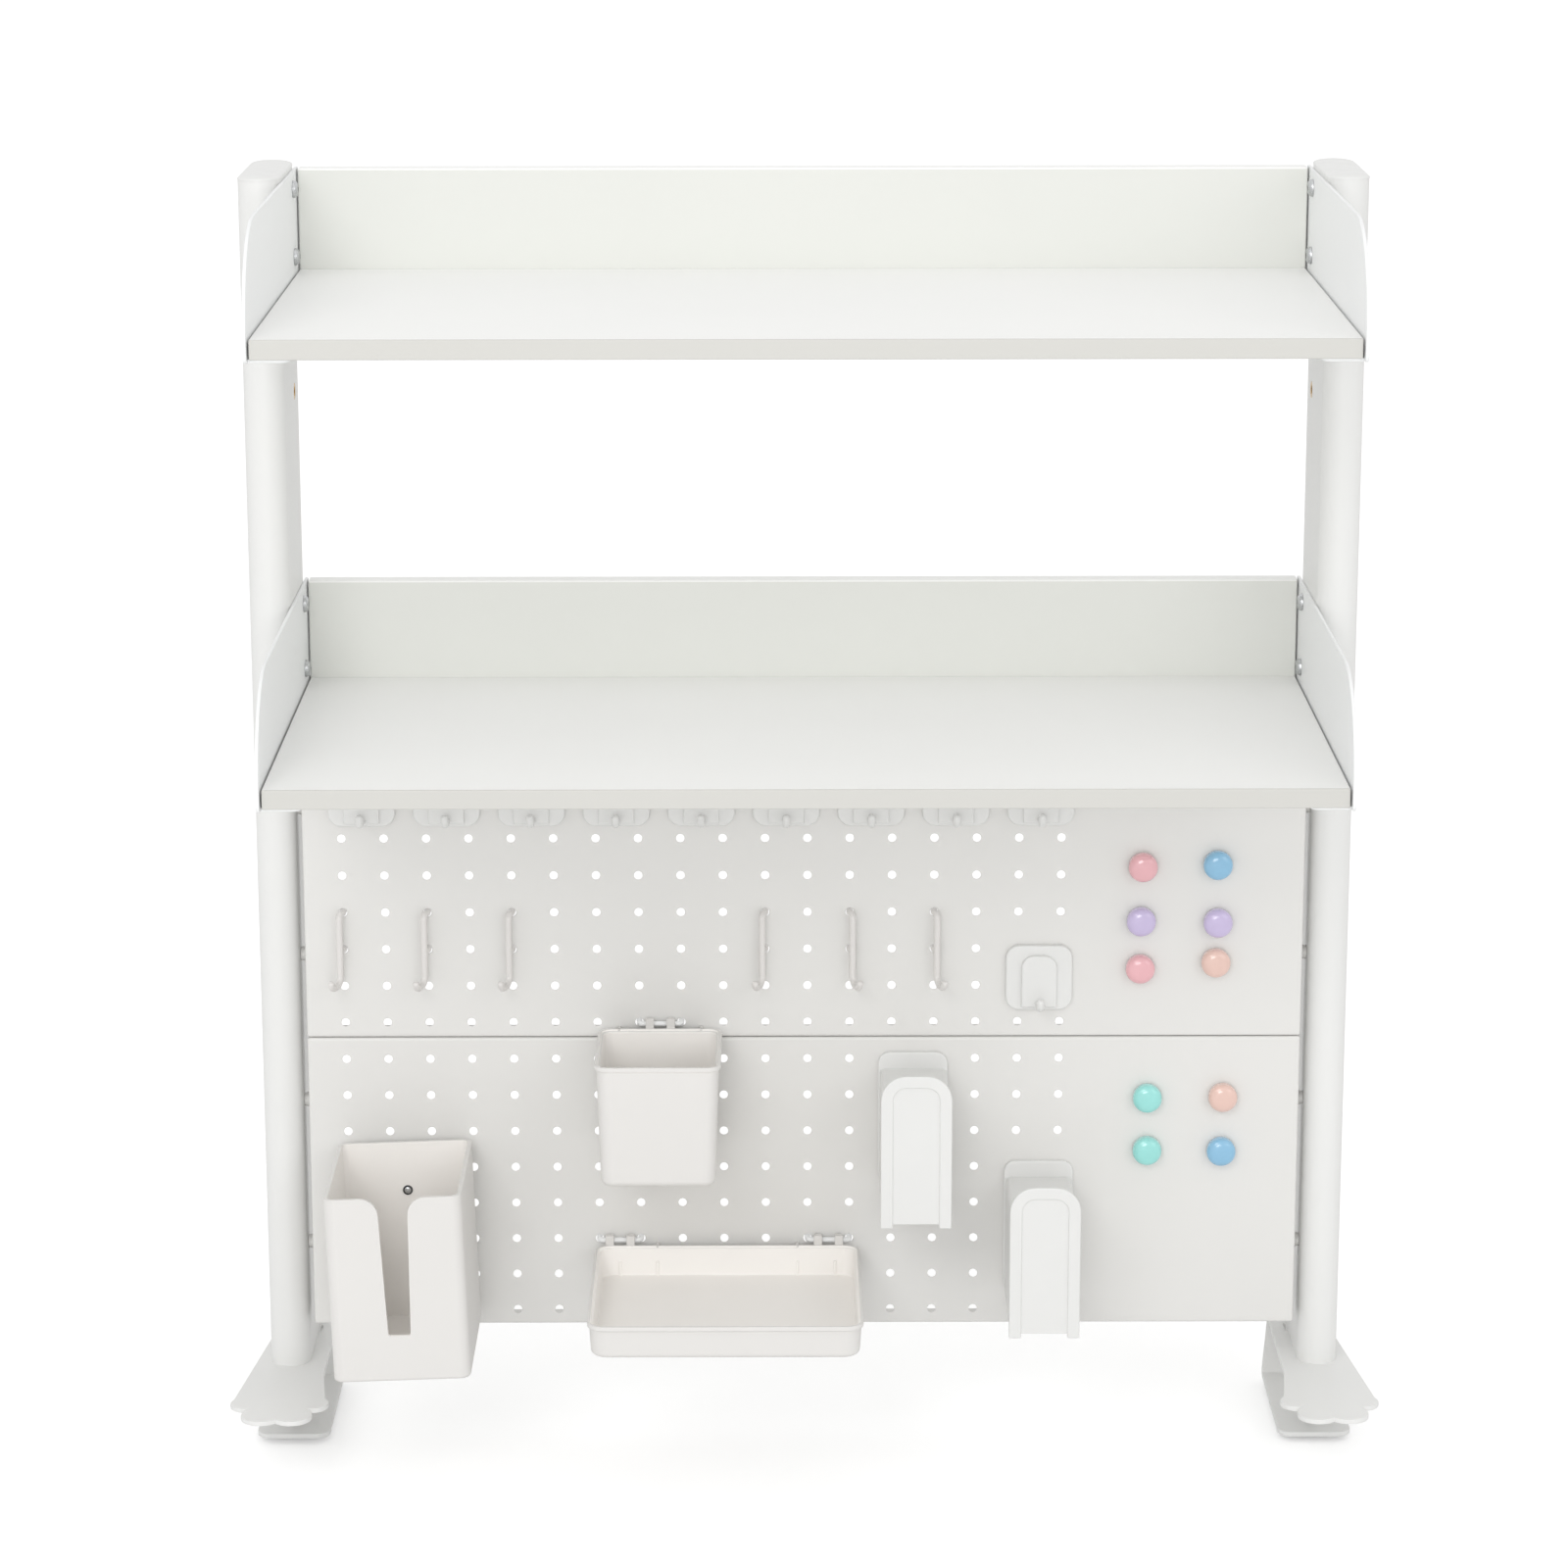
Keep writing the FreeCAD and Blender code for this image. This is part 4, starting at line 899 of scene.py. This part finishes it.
def long_hook(node, side):
    """Bent wire that swings to one side: a peg, a bar down past the peg below, and a curl at its foot."""
    low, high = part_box(node)
    wire, stand, reach = mm(2), mm(6), mm(20)
    x = low.x + wire if side > 0 else high.x - wire
    z = high.z - mm(1.6)
    swing = math.radians(18)
    ahead = Vector((side * math.sin(swing), -math.cos(swing), 0))
    turn, bend, curl, tip = mm(3), mm(3.4), mm(5.5), mm(5)
    down = z - (low.z + wire) - bend - curl
    upper = [mm(7), (turn, 18, (side, 0, 0)), stand - bend - turn * 0.3, (bend, 90, (0, 0, -1)), down]
    foot = [(curl, 90, ahead), reach - stand - curl - tip, (tip, 75, (0, 0, 1)), mm(1.6)]
    hook = rod(wire, (x, mm(7), z), (0, -1, 0), upper + foot, 14, 0.9)
    lower = rod(wire, (x, mm(7), z - mm(22.6)), (0, -1, 0), [mm(7), (turn, 18, (side, 0, 0)), stand - turn * 0.3], 14, 0.9)
    return [(hook, "vinyl_coated_wire"), (lower, "vinyl_coated_wire")]


def staple(left_x, right_x, z):
    """Wire staple through two neighbouring holes."""
    wire, bend, front = mm(1.6), mm(2.4), mm(-3.2)
    run = mm(7) - front - bend
    moves = [run, (bend, 90, (1, 0, 0)), right_x - left_x - 2 * bend, (bend, 90, (0, 1, 0)), run]
    return rod(wire, (left_x, mm(7), z), (0, -1, 0), moves, 12, 0.8)


class ORGANIZER_OT_hooks(bpy.types.Operator):
    """Adds the plate hooks and the long wire hooks"""

    bl_idname = "organizer.hooks"
    bl_label = "Hooks"

    def execute(self, context):
        for node in PLATE_HOOKS:
            piece(node + "_moulding", node, [node], "white_plastic", *plate_hook(node))
        for node in LONG_HOOKS:
            side = 1 if node in RIGHT_SWUNG else -1
            piece(node + "_wire", node, [node], "white_steel", *long_hook(node, side))
        return {"FINISHED"}


# ---------------------------------------------------------------- cup and tray
def moulded_bin(low, high, corner, taper, wall, lip, lip_height, floor_round):
    """Open moulded box: rounded corners, a floor that curves up into its walls, and a stepped rim."""
    shoulder = high.z - lip_height
    bm = block((low.x + lip, low.y + lip, low.z), (high.x - lip, high.y - lip, shoulder), 2, corner - lip, 8)
    bmesh.ops.delete(bm, geom=[f for f in bm.faces if f.normal.z > 0.9], context="FACES")
    centre = (low + high) / 2
    half = (high - low) / 2
    floor = [v for v in bm.verts if v.co.z < low.z + mm(0.1)]
    shrink = (1 - taper / half.x, 1 - taper / half.y, 1)
    bmesh.ops.scale(bm, vec=shrink, verts=floor, space=Matrix.Translation(-centre))
    softened(bm, floor_round, 4, 60, lambda middle: middle.z < low.z + mm(0.1))
    rim = [edge for edge in bm.edges if edge.is_boundary]
    rim = drawn_out(bm, rim, (0, 0, mm(0.4)))
    grow = (half.x / (half.x - lip), half.y / (half.y - lip), 1)
    verts = list({v for edge in rim for v in edge.verts})
    bmesh.ops.scale(bm, vec=grow, verts=verts, space=Matrix.Translation(-centre))
    drawn_out(bm, rim, (0, 0, lip_height - mm(0.4)))
    outward(bm)
    if sum(f.normal.z * f.calc_area() for f in bm.faces) > 0:
        bmesh.ops.reverse_faces(bm, faces=bm.faces)
    thickened(bm, wall)
    softened(bm, mm(0.5), 2, 45, lambda middle: middle.z > shoulder - mm(0.5))
    return lined(bm, centre)


def upright_rib(x, front, back, low, high):
    rib = block((x - mm(0.8), front, low), (x + mm(0.8), back, high))
    return softened(rib, mm(0.4), 2)


def lug(x, back, z):
    """Lug from a holder's back over the wire's bar, with its lip down behind the bar."""
    over = block((x - mm(2.3), back - mm(0.6), z + mm(1.6)), (x + mm(2.3), mm(-1.6), z + mm(3.4)))
    root = block((x - mm(2.5), back - mm(1), z - mm(4)), (x + mm(2.5), back + mm(1), z + mm(3.6)))
    return [softened(over, mm(0.5), 2), softened(root, mm(0.4), 2)]


class ORGANIZER_OT_cup(bpy.types.Operator):
    """Adds the pen cup and its wire hanger"""

    bl_idname = "organizer.cup"
    bl_label = "Pen cup"

    def execute(self, context):
        wall = context.scene.organizer_sizes.cup_wall
        low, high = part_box("pen_cup")
        wire_low, wire_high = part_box("pen_cup_hanger")
        z = (wire_low.z + wire_high.z) / 2
        x = (low.x + high.x) / 2
        top = z - mm(2)
        back = mm(-6)
        body_low, body_high = Vector((low.x, low.y, top - mm(74))), Vector((high.x, back, top))
        body = moulded_bin(body_low, body_high, mm(9), mm(2.2), wall, mm(1.2), mm(3), mm(4))
        solids = [upright_rib(x + s * mm(24.4), back - mm(2.5), mm(-0.2), top - mm(44), top) for s in (-1, 1)]
        for s in (-1, 1):
            solids += lug(x + s * mm(6.25), back, z)
        walls = [(body, ("polypropylene", "polypropylene_inside"))] + [(s, "polypropylene") for s in solids]
        piece("pen_cup_moulding", "pen_cup", ["pen_cup"], "warm_white_plastic", *walls)
        wire = staple(wire_low.x + mm(1.5), wire_high.x - mm(1.5), z)
        piece("pen_cup_wire", "pen_cup_hanger", ["pen_cup_hanger"], "white_steel", (wire, "powder_coated_plate"))
        return {"FINISHED"}


class ORGANIZER_OT_tray(bpy.types.Operator):
    """Adds the tray and its two wire hangers"""

    bl_idname = "organizer.tray"
    bl_label = "Tray"

    def execute(self, context):
        wall = context.scene.organizer_sizes.cup_wall
        low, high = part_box("tray")
        wire_low, wire_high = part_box("tray_hangers")
        z = (wire_low.z + wire_high.z) / 2
        x = (low.x + high.x) / 2
        back, top = mm(-6), z - mm(2.2)
        pitch = context.scene.organizer_sizes.hole_pitch_x
        body_low, body_high = Vector((low.x, low.y, top - mm(20))), Vector((high.x, back, top))
        body = moulded_bin(body_low, body_high, mm(11), mm(1), wall, mm(1.2), mm(3), mm(3))
        solids = [upright_rib(x + s * mm(42), back - mm(2.5), mm(-0.2), top - mm(16), top) for s in (-1, 1)]
        inner, floor = back - mm(1.2) - wall, top - mm(20) + wall
        ribs = [
            upright_rib(x + mm(spread), inner - mm(1.5), inner + mm(1), floor - mm(1), floor + mm(9))
            for spread in (-64.5, -42, 42, 64.5)
        ]
        lefts = (wire_low.x + mm(1.5), wire_high.x - mm(1.5) - pitch)
        for left in lefts:
            for s in (-1, 1):
                solids += lug(left + pitch / 2 + s * pitch / 4, back, z)
        walls = [(body, ("polypropylene", "polypropylene_inside"))] + [(s, "polypropylene") for s in solids]
        # the tray's inner ribs wear the painted-light inside colour too
        walls += [(rib, "polypropylene_inside") for rib in ribs]
        piece("tray_moulding", "tray", ["tray"], "warm_white_plastic", *walls)
        wires = [(staple(left, left + pitch, z), "powder_coated_plate") for left in lefts]
        piece("tray_wires", "tray_hangers", ["tray_hangers"], "white_steel", *wires)
        return {"FINISHED"}


# ---------------------------------------------------------------- tissue box
BOX = {"x": -234.5, "bottom": 36.0, "width": 80.0, "depth": 106.0, "height": 112.0, "gap": 5.0, "lean": 2.0}


def leaning(bm):
    """Turns a solid to the box's lean, about the middle of its lower edge."""
    pivot = Vector((mm(BOX["x"]), 0, mm(BOX["bottom"])))
    turn = Matrix.Rotation(math.radians(-BOX["lean"]), 4, "Y")
    bmesh.ops.transform(bm, matrix=Matrix.Translation(pivot) @ turn @ Matrix.Translation(-pivot), verts=bm.verts)
    return bm


SLOT = {"top_half": 8.6, "bottom_half": 6.5, "floor": 28.0, "corner": 1.5, "flare": 10.5}


def slot_half(rise):
    """Half width of the tissue slot, in mm, at a height above the box's floor."""
    corner, flare, floor = SLOT["corner"], SLOT["flare"], SLOT["floor"]
    neck = BOX["height"] - flare
    if rise > neck:
        return SLOT["top_half"] + flare - math.sqrt(max(0.0, flare ** 2 - (rise - neck) ** 2))
    share = (rise - floor) / (neck - floor)
    half = SLOT["bottom_half"] + (SLOT["top_half"] - SLOT["bottom_half"]) * share
    below = max(0.0, floor + corner - rise)
    return half - corner + math.sqrt(max(0.0, corner ** 2 - below ** 2))


def tissue_box_shell():
    """Open box with a slot down its front that flares at the rim."""
    x, bottom = BOX["x"], BOX["bottom"]
    low = mm(x - BOX["width"] / 2, -BOX["gap"] - BOX["depth"], bottom)
    high = mm(x + BOX["width"] / 2, -BOX["gap"], bottom + BOX["height"])
    bm = block(low, high, 2, mm(6), 6)
    bmesh.ops.delete(bm, geom=[f for f in bm.faces if f.normal.z > 0.9], context="FACES")
    softened(bm, mm(2), 3, 60, lambda middle: middle.z < low.z + mm(0.1))
    front = [f for f in bm.faces if f.normal.y < -0.99]
    corner, flare, floor = SLOT["corner"], SLOT["flare"], SLOT["floor"]
    quarter = [math.sin(math.radians(18 * i)) for i in range(5)]
    rises = [floor + corner * (1 - share) for share in quarter] + [floor]
    rises += [BOX["height"] - flare * (1 - share) for share in quarter] + [BOX["height"] - flare * 0.015]
    faces = cut_across(bm, front, [(0, mm(x - 9)), (0, mm(x + 9))] + [(2, mm(bottom + rise)) for rise in rises])
    gone = [
        f for f in faces
        if abs(f.calc_center_median().x - mm(x)) < mm(5) and f.calc_center_median().z > mm(bottom + floor)
    ]
    bmesh.ops.delete(bm, geom=gone, context="FACES")
    for vert in bm.verts:
        off = vert.co.x - mm(x)
        rise = vert.co.z * 1000 - bottom
        if vert.co.y < low.y + 1e-5 and abs(abs(off) - mm(9)) < 1e-5 and rise > floor - 0.01:
            vert.co.x = mm(x) + math.copysign(mm(slot_half(rise)), off)
    thickened(bm, mm(2.4))
    softened(bm, mm(0.6), 3, 60, lambda m: m.z > high.z - mm(1) or (m.y < low.y + mm(3) and abs(m.x - mm(x)) < mm(19)))
    return leaning(lined(bm, (low + high) / 2))


class ORGANIZER_OT_tissue_box(bpy.types.Operator):
    """Adds the tissue box and the pot magnet riveted to its back"""

    bl_idname = "organizer.tissue_box"
    bl_label = "Tissue box"

    def execute(self, context):
        shell = tissue_box_shell()
        walls = (shell, ("polypropylene", "polypropylene_inside"))
        piece("tissue_box_moulding", "tissue_box", ["tissue_box"], "warm_white_plastic", walls)
        centre = mm(BOX["x"], 0, BOX["bottom"] + 82)
        pot = lathe(
            [(-5, 0), (-5, 15), (-4.2, 16), (-0.2, 16), (-0.2, 13.6), (-0.7, 13.6), (-0.7, 12.9), (-0.2, 12.9), (-0.2, 0)],
            centre, (0, 1, 0), 48,
        )
        collar = lathe([(-7.3, 0), (-7.3, 3.0), (-8.0, 2.9), (-8.1, 2.7), (-8.1, 0)], centre, (0, 1, 0), 24)
        rivet = lathe([(-4.5, 0), (-4.5, 2.0), (-8.2, 2.0), (-8.5, 1.6), (-8.6, 1.0), (-8.6, 0)], centre, (0, 1, 0), 24)
        solids = [(pot, "nickel_plated_steel"), (collar, "black_oxide_steel"), (rivet, "zinc_plated_steel")]
        solids = [(leaning(solid), coating) for solid, coating in solids]
        piece("tissue_box_pot_magnet", "tissue_box", ["tissue_box_magnet"], "magnet_metal", *solids)
        return {"FINISHED"}


# ---------------------------------------------------------------- arch hangers
def arch_hanger(node):
    """Back plate, deep saddle open underneath, and an arched front with its inner panel set back."""
    low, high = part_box(node)
    x, top = (low.x + high.x) / 2, 0.0
    half, reach, wall = mm(20.75), low.y, mm(3)
    arch_top = high.z
    saddle = arch_top - mm(19)
    top = saddle + mm(10)
    bottom = top - mm(81.5)
    plate = block((x - half, mm(-3.2), bottom), (x + half, mm(-0.2), top), 1, mm(7), 8)
    softened(plate, mm(0.9), 3, 60, lambda middle: middle.y < mm(-3))
    bridge = block((x - half + mm(1), reach + mm(1.5), bottom), (x + half - mm(1), mm(-3), saddle))
    bevelled(bridge, edges_where(bridge, lambda m, way: abs(way.y) > 0.9 and m.z > saddle - mm(1)), mm(2.5), 4)
    bmesh.ops.delete(bridge, geom=[f for f in bridge.faces if f.normal.z < -0.9], context="FACES")
    thickened(bridge, wall)
    margin, leg = mm(7.2), mm(2.5)
    foot = bottom - leg
    bend = mm(15) - margin / 2
    ring_place = (x - half + margin / 2, reach + wall / 2, foot)
    arch = bmesh.new()
    corner = Matrix.Translation(ring_place) @ Matrix.Diagonal((margin / 2, wall / 2, 1, 1))
    bmesh.ops.create_grid(arch, x_segments=1, y_segments=1, size=1, matrix=corner)
    bmesh.ops.delete(arch, geom=list(arch.faces), context="FACES_ONLY")
    rise = arch_top - margin / 2 - bend - foot
    across = 2 * half - margin - 2 * bend
    swept(
        arch, list(arch.edges), ring_place, (0, 0, 1),
        [rise, (bend, 90, (1, 0, 0)), across, (bend, 90, (0, 0, -1)), rise],
    )
    softened(arch, mm(0.8), 3, 60)
    panel = block((x - half + margin - mm(0.5), reach + mm(1), bottom), (x + half - margin + mm(0.5), reach + wall, arch_top - margin + mm(0.5)))
    softened(panel, mm(0.3), 2, 60)
    return [(solid, "abs_plastic") for solid in (plate, bridge, arch, panel)]


class ORGANIZER_OT_hangers(bpy.types.Operator):
    """Adds the two arched hangers"""

    bl_idname = "organizer.hangers"
    bl_label = "Arch hangers"

    def execute(self, context):
        for name, side in SIDES:
            node = name + "_hanger"
            piece(node + "_moulding", node, [node], "white_plastic", *arch_hanger(node))
        return {"FINISHED"}


# ---------------------------------------------------------------- magnets
class ORGANIZER_OT_magnets(bpy.types.Operator):
    """Adds the ten button magnets"""

    bl_idname = "organizer.magnets"
    bl_label = "Magnets"

    def execute(self, context):
        for node, slot in MAGNETS.items():
            low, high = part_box(node)
            centre = Vector(((low.x + high.x) / 2, 0, (low.z + high.z) / 2))
            dome = [(-0.8, 0), (-0.8, 8.6), (-3.8, 8.75)]
            for i in range(1, 9):
                angle = math.radians(90 * i / 8)
                dome.append((-3.8 - 4.35 * math.sin(angle) ** 0.9, 8.75 * math.cos(angle) ** 0.62 if i < 8 else 0.0))
            cap = lathe(dome, centre, (0, 1, 0), 40)
            base = lathe([(-0.2, 0), (-0.2, 7.6), (-1.2, 7.6), (-1.2, 0)], centre, (0, 1, 0), 40)
            colour_name = "lacquered_" + slot
            piece(node + "_button", node, [node], slot, (cap, colour_name), (base, "nickel_plated_steel"))
        return {"FINISHED"}


# ---------------------------------------------------------------- stage
def area_lamp(name, place, target, size, power):
    lamp = bpy.data.lights.new(name, "AREA")
    lamp.shape, lamp.size, lamp.energy = "DISK", size, power
    obj = bpy.data.objects.new(name, lamp)
    obj.location = place
    obj.rotation_euler = (Vector(target) - Vector(place)).to_track_quat("-Z", "Y").to_euler()
    bpy.context.scene.collection.objects.link(obj)


def stage_camera():
    """Camera a little above the top shelf, nearly square on."""
    pitch, yaw, roll = 0.24231, 0.00183, -0.00122
    turn = Matrix.Rotation(roll, 3, "Y") @ Matrix.Rotation(pitch, 3, "X") @ Matrix.Rotation(yaw, 3, "Z")
    right, ahead, up = turn
    lens = bpy.data.cameras.new("studio_camera")
    lens.sensor_width, lens.lens = 36.0, 4783.07 * 36.0 / 1600
    lens.clip_start, lens.clip_end = 0.1, 50
    camera = bpy.data.objects.new("studio_camera", lens)
    columns = Matrix((right, up, -ahead)).transposed()
    camera.matrix_world = Matrix.Translation(mm(-16.56, -2676.63, 1027.87)) @ columns.to_4x4()
    bpy.context.scene.collection.objects.link(camera)
    bpy.context.scene.camera = camera


class ORGANIZER_OT_stage(bpy.types.Operator):
    """Adds the pale floor, the soft lamps and the camera"""

    bl_idname = "organizer.stage"
    bl_label = "Stage"

    def execute(self, context):
        bm = bmesh.new()
        floor_z = CAD_BOX[0].z - mm(0.2)
        bmesh.ops.create_grid(bm, x_segments=1, y_segments=1, size=12, matrix=Matrix.Translation((0, 0, floor_z)))
        mesh = bpy.data.meshes.new("studio_floor")
        bm.to_mesh(mesh)
        bm.free()
        paper = bpy.data.materials.new("matt_studio_paper")
        paper.use_nodes = True
        tree = paper.node_tree
        tree.nodes.clear()
        place = add(tree, "TexCoord").outputs["Object"]
        fibre = add(tree, "TexNoise", {"Vector": place, "Scale": 1 / mm(60)}).outputs["Fac"]
        rough = add(tree, "MapRange", {"Value": fibre, "To Min": 0.85, "To Max": 0.95}).outputs["Result"]
        matt = add(tree, "BsdfPrincipled", {"Base Color": (0.9, 0.9, 0.9, 1), "Roughness": rough, "Specular IOR Level": 0.1})
        # a little of the paper's white is added for the camera, which leaves the shadows on it
        seen = add(tree, "LightPath").outputs["Is Camera Ray"]
        white = add(tree, "MapRange", {"Value": seen, "To Min": 0.0, "To Max": 0.3}).outputs["Result"]
        lift = add(tree, "Emission", {"Color": (1, 1, 1, 1), "Strength": white})
        both = add(tree, "AddShader", {0: matt.outputs[0], 1: lift.outputs[0]})
        add(tree, "OutputMaterial", {"Surface": both.outputs[0]})
        mesh.materials.append(paper)
        floor = bpy.data.objects.new("studio_floor", mesh)
        context.scene.collection.objects.link(floor)

        world = bpy.data.worlds.new("studio")
        context.scene.world = world
        world.use_nodes = True
        tree = world.node_tree
        tree.nodes.clear()
        path = add(tree, "LightPath")
        seen = add(tree, "Math", {0: path.outputs["Is Camera Ray"], 1: path.outputs["Is Glossy Ray"]}, operation="MAXIMUM")
        strength = add(tree, "MapRange", {"Value": seen.outputs[0], "To Min": 0.86, "To Max": 1.0})
        sky = add(tree, "Background", {"Color": (1, 1, 1, 1), "Strength": strength.outputs["Result"]})
        add(tree, "OutputWorld", {"Surface": sky.outputs[0]})

        target = (0, 0, 0.35)
        area_lamp("key_lamp", (-1.1, -2.9, 2.3), target, 1.6, 19)
        area_lamp("front_lamp", (-0.2, -3.4, 0.95), target, 1.1, 15)
        area_lamp("fill_lamp", (2.1, -2.6, 1.7), target, 1.8, 8)
        area_lamp("top_lamp", (0.0, -0.8, 2.9), target, 1.8, 2)
        stage_camera()
        context.scene.view_settings.view_transform = "Standard"
        return {"FINISHED"}


OPERATORS = (
    ORGANIZER_OT_posts, ORGANIZER_OT_shelves, ORGANIZER_OT_pegboards, ORGANIZER_OT_clamps, ORGANIZER_OT_hooks,
    ORGANIZER_OT_cup, ORGANIZER_OT_tray, ORGANIZER_OT_tissue_box, ORGANIZER_OT_hangers, ORGANIZER_OT_magnets,
    ORGANIZER_OT_stage,
)


class ORGANIZER_PT_panel(bpy.types.Panel):
    """Lists the organizer's pieces, sizes and colours in the sidebar"""

    bl_idname = "ORGANIZER_PT_panel"
    bl_label = "Organizer"
    bl_space_type = "VIEW_3D"
    bl_region_type = "UI"
    bl_category = "Organizer"

    def draw(self, context):
        for group in (context.scene.organizer_sizes, context.scene.organizer_colours):
            box = self.layout.box()
            for name in group.__annotations__:
                box.prop(group, name)
        for operator in OPERATORS:
            self.layout.operator(operator.bl_idname)


CLASSES = (OrganizerSizes, OrganizerColours, *OPERATORS, ORGANIZER_PT_panel)


def register():
    for cls in CLASSES:
        bpy.utils.register_class(cls)
    bpy.types.Scene.organizer_sizes = bpy.props.PointerProperty(type=OrganizerSizes)
    bpy.types.Scene.organizer_colours = bpy.props.PointerProperty(type=OrganizerColours)


def unregister():
    del bpy.types.Scene.organizer_colours
    del bpy.types.Scene.organizer_sizes
    for cls in reversed(CLASSES):
        bpy.utils.unregister_class(cls)


def main():
    register()
    for operator in OPERATORS:
        group, name = operator.bl_idname.split(".")
        getattr(getattr(bpy.ops, group), name)()


if __name__ == "__main__":
    main()
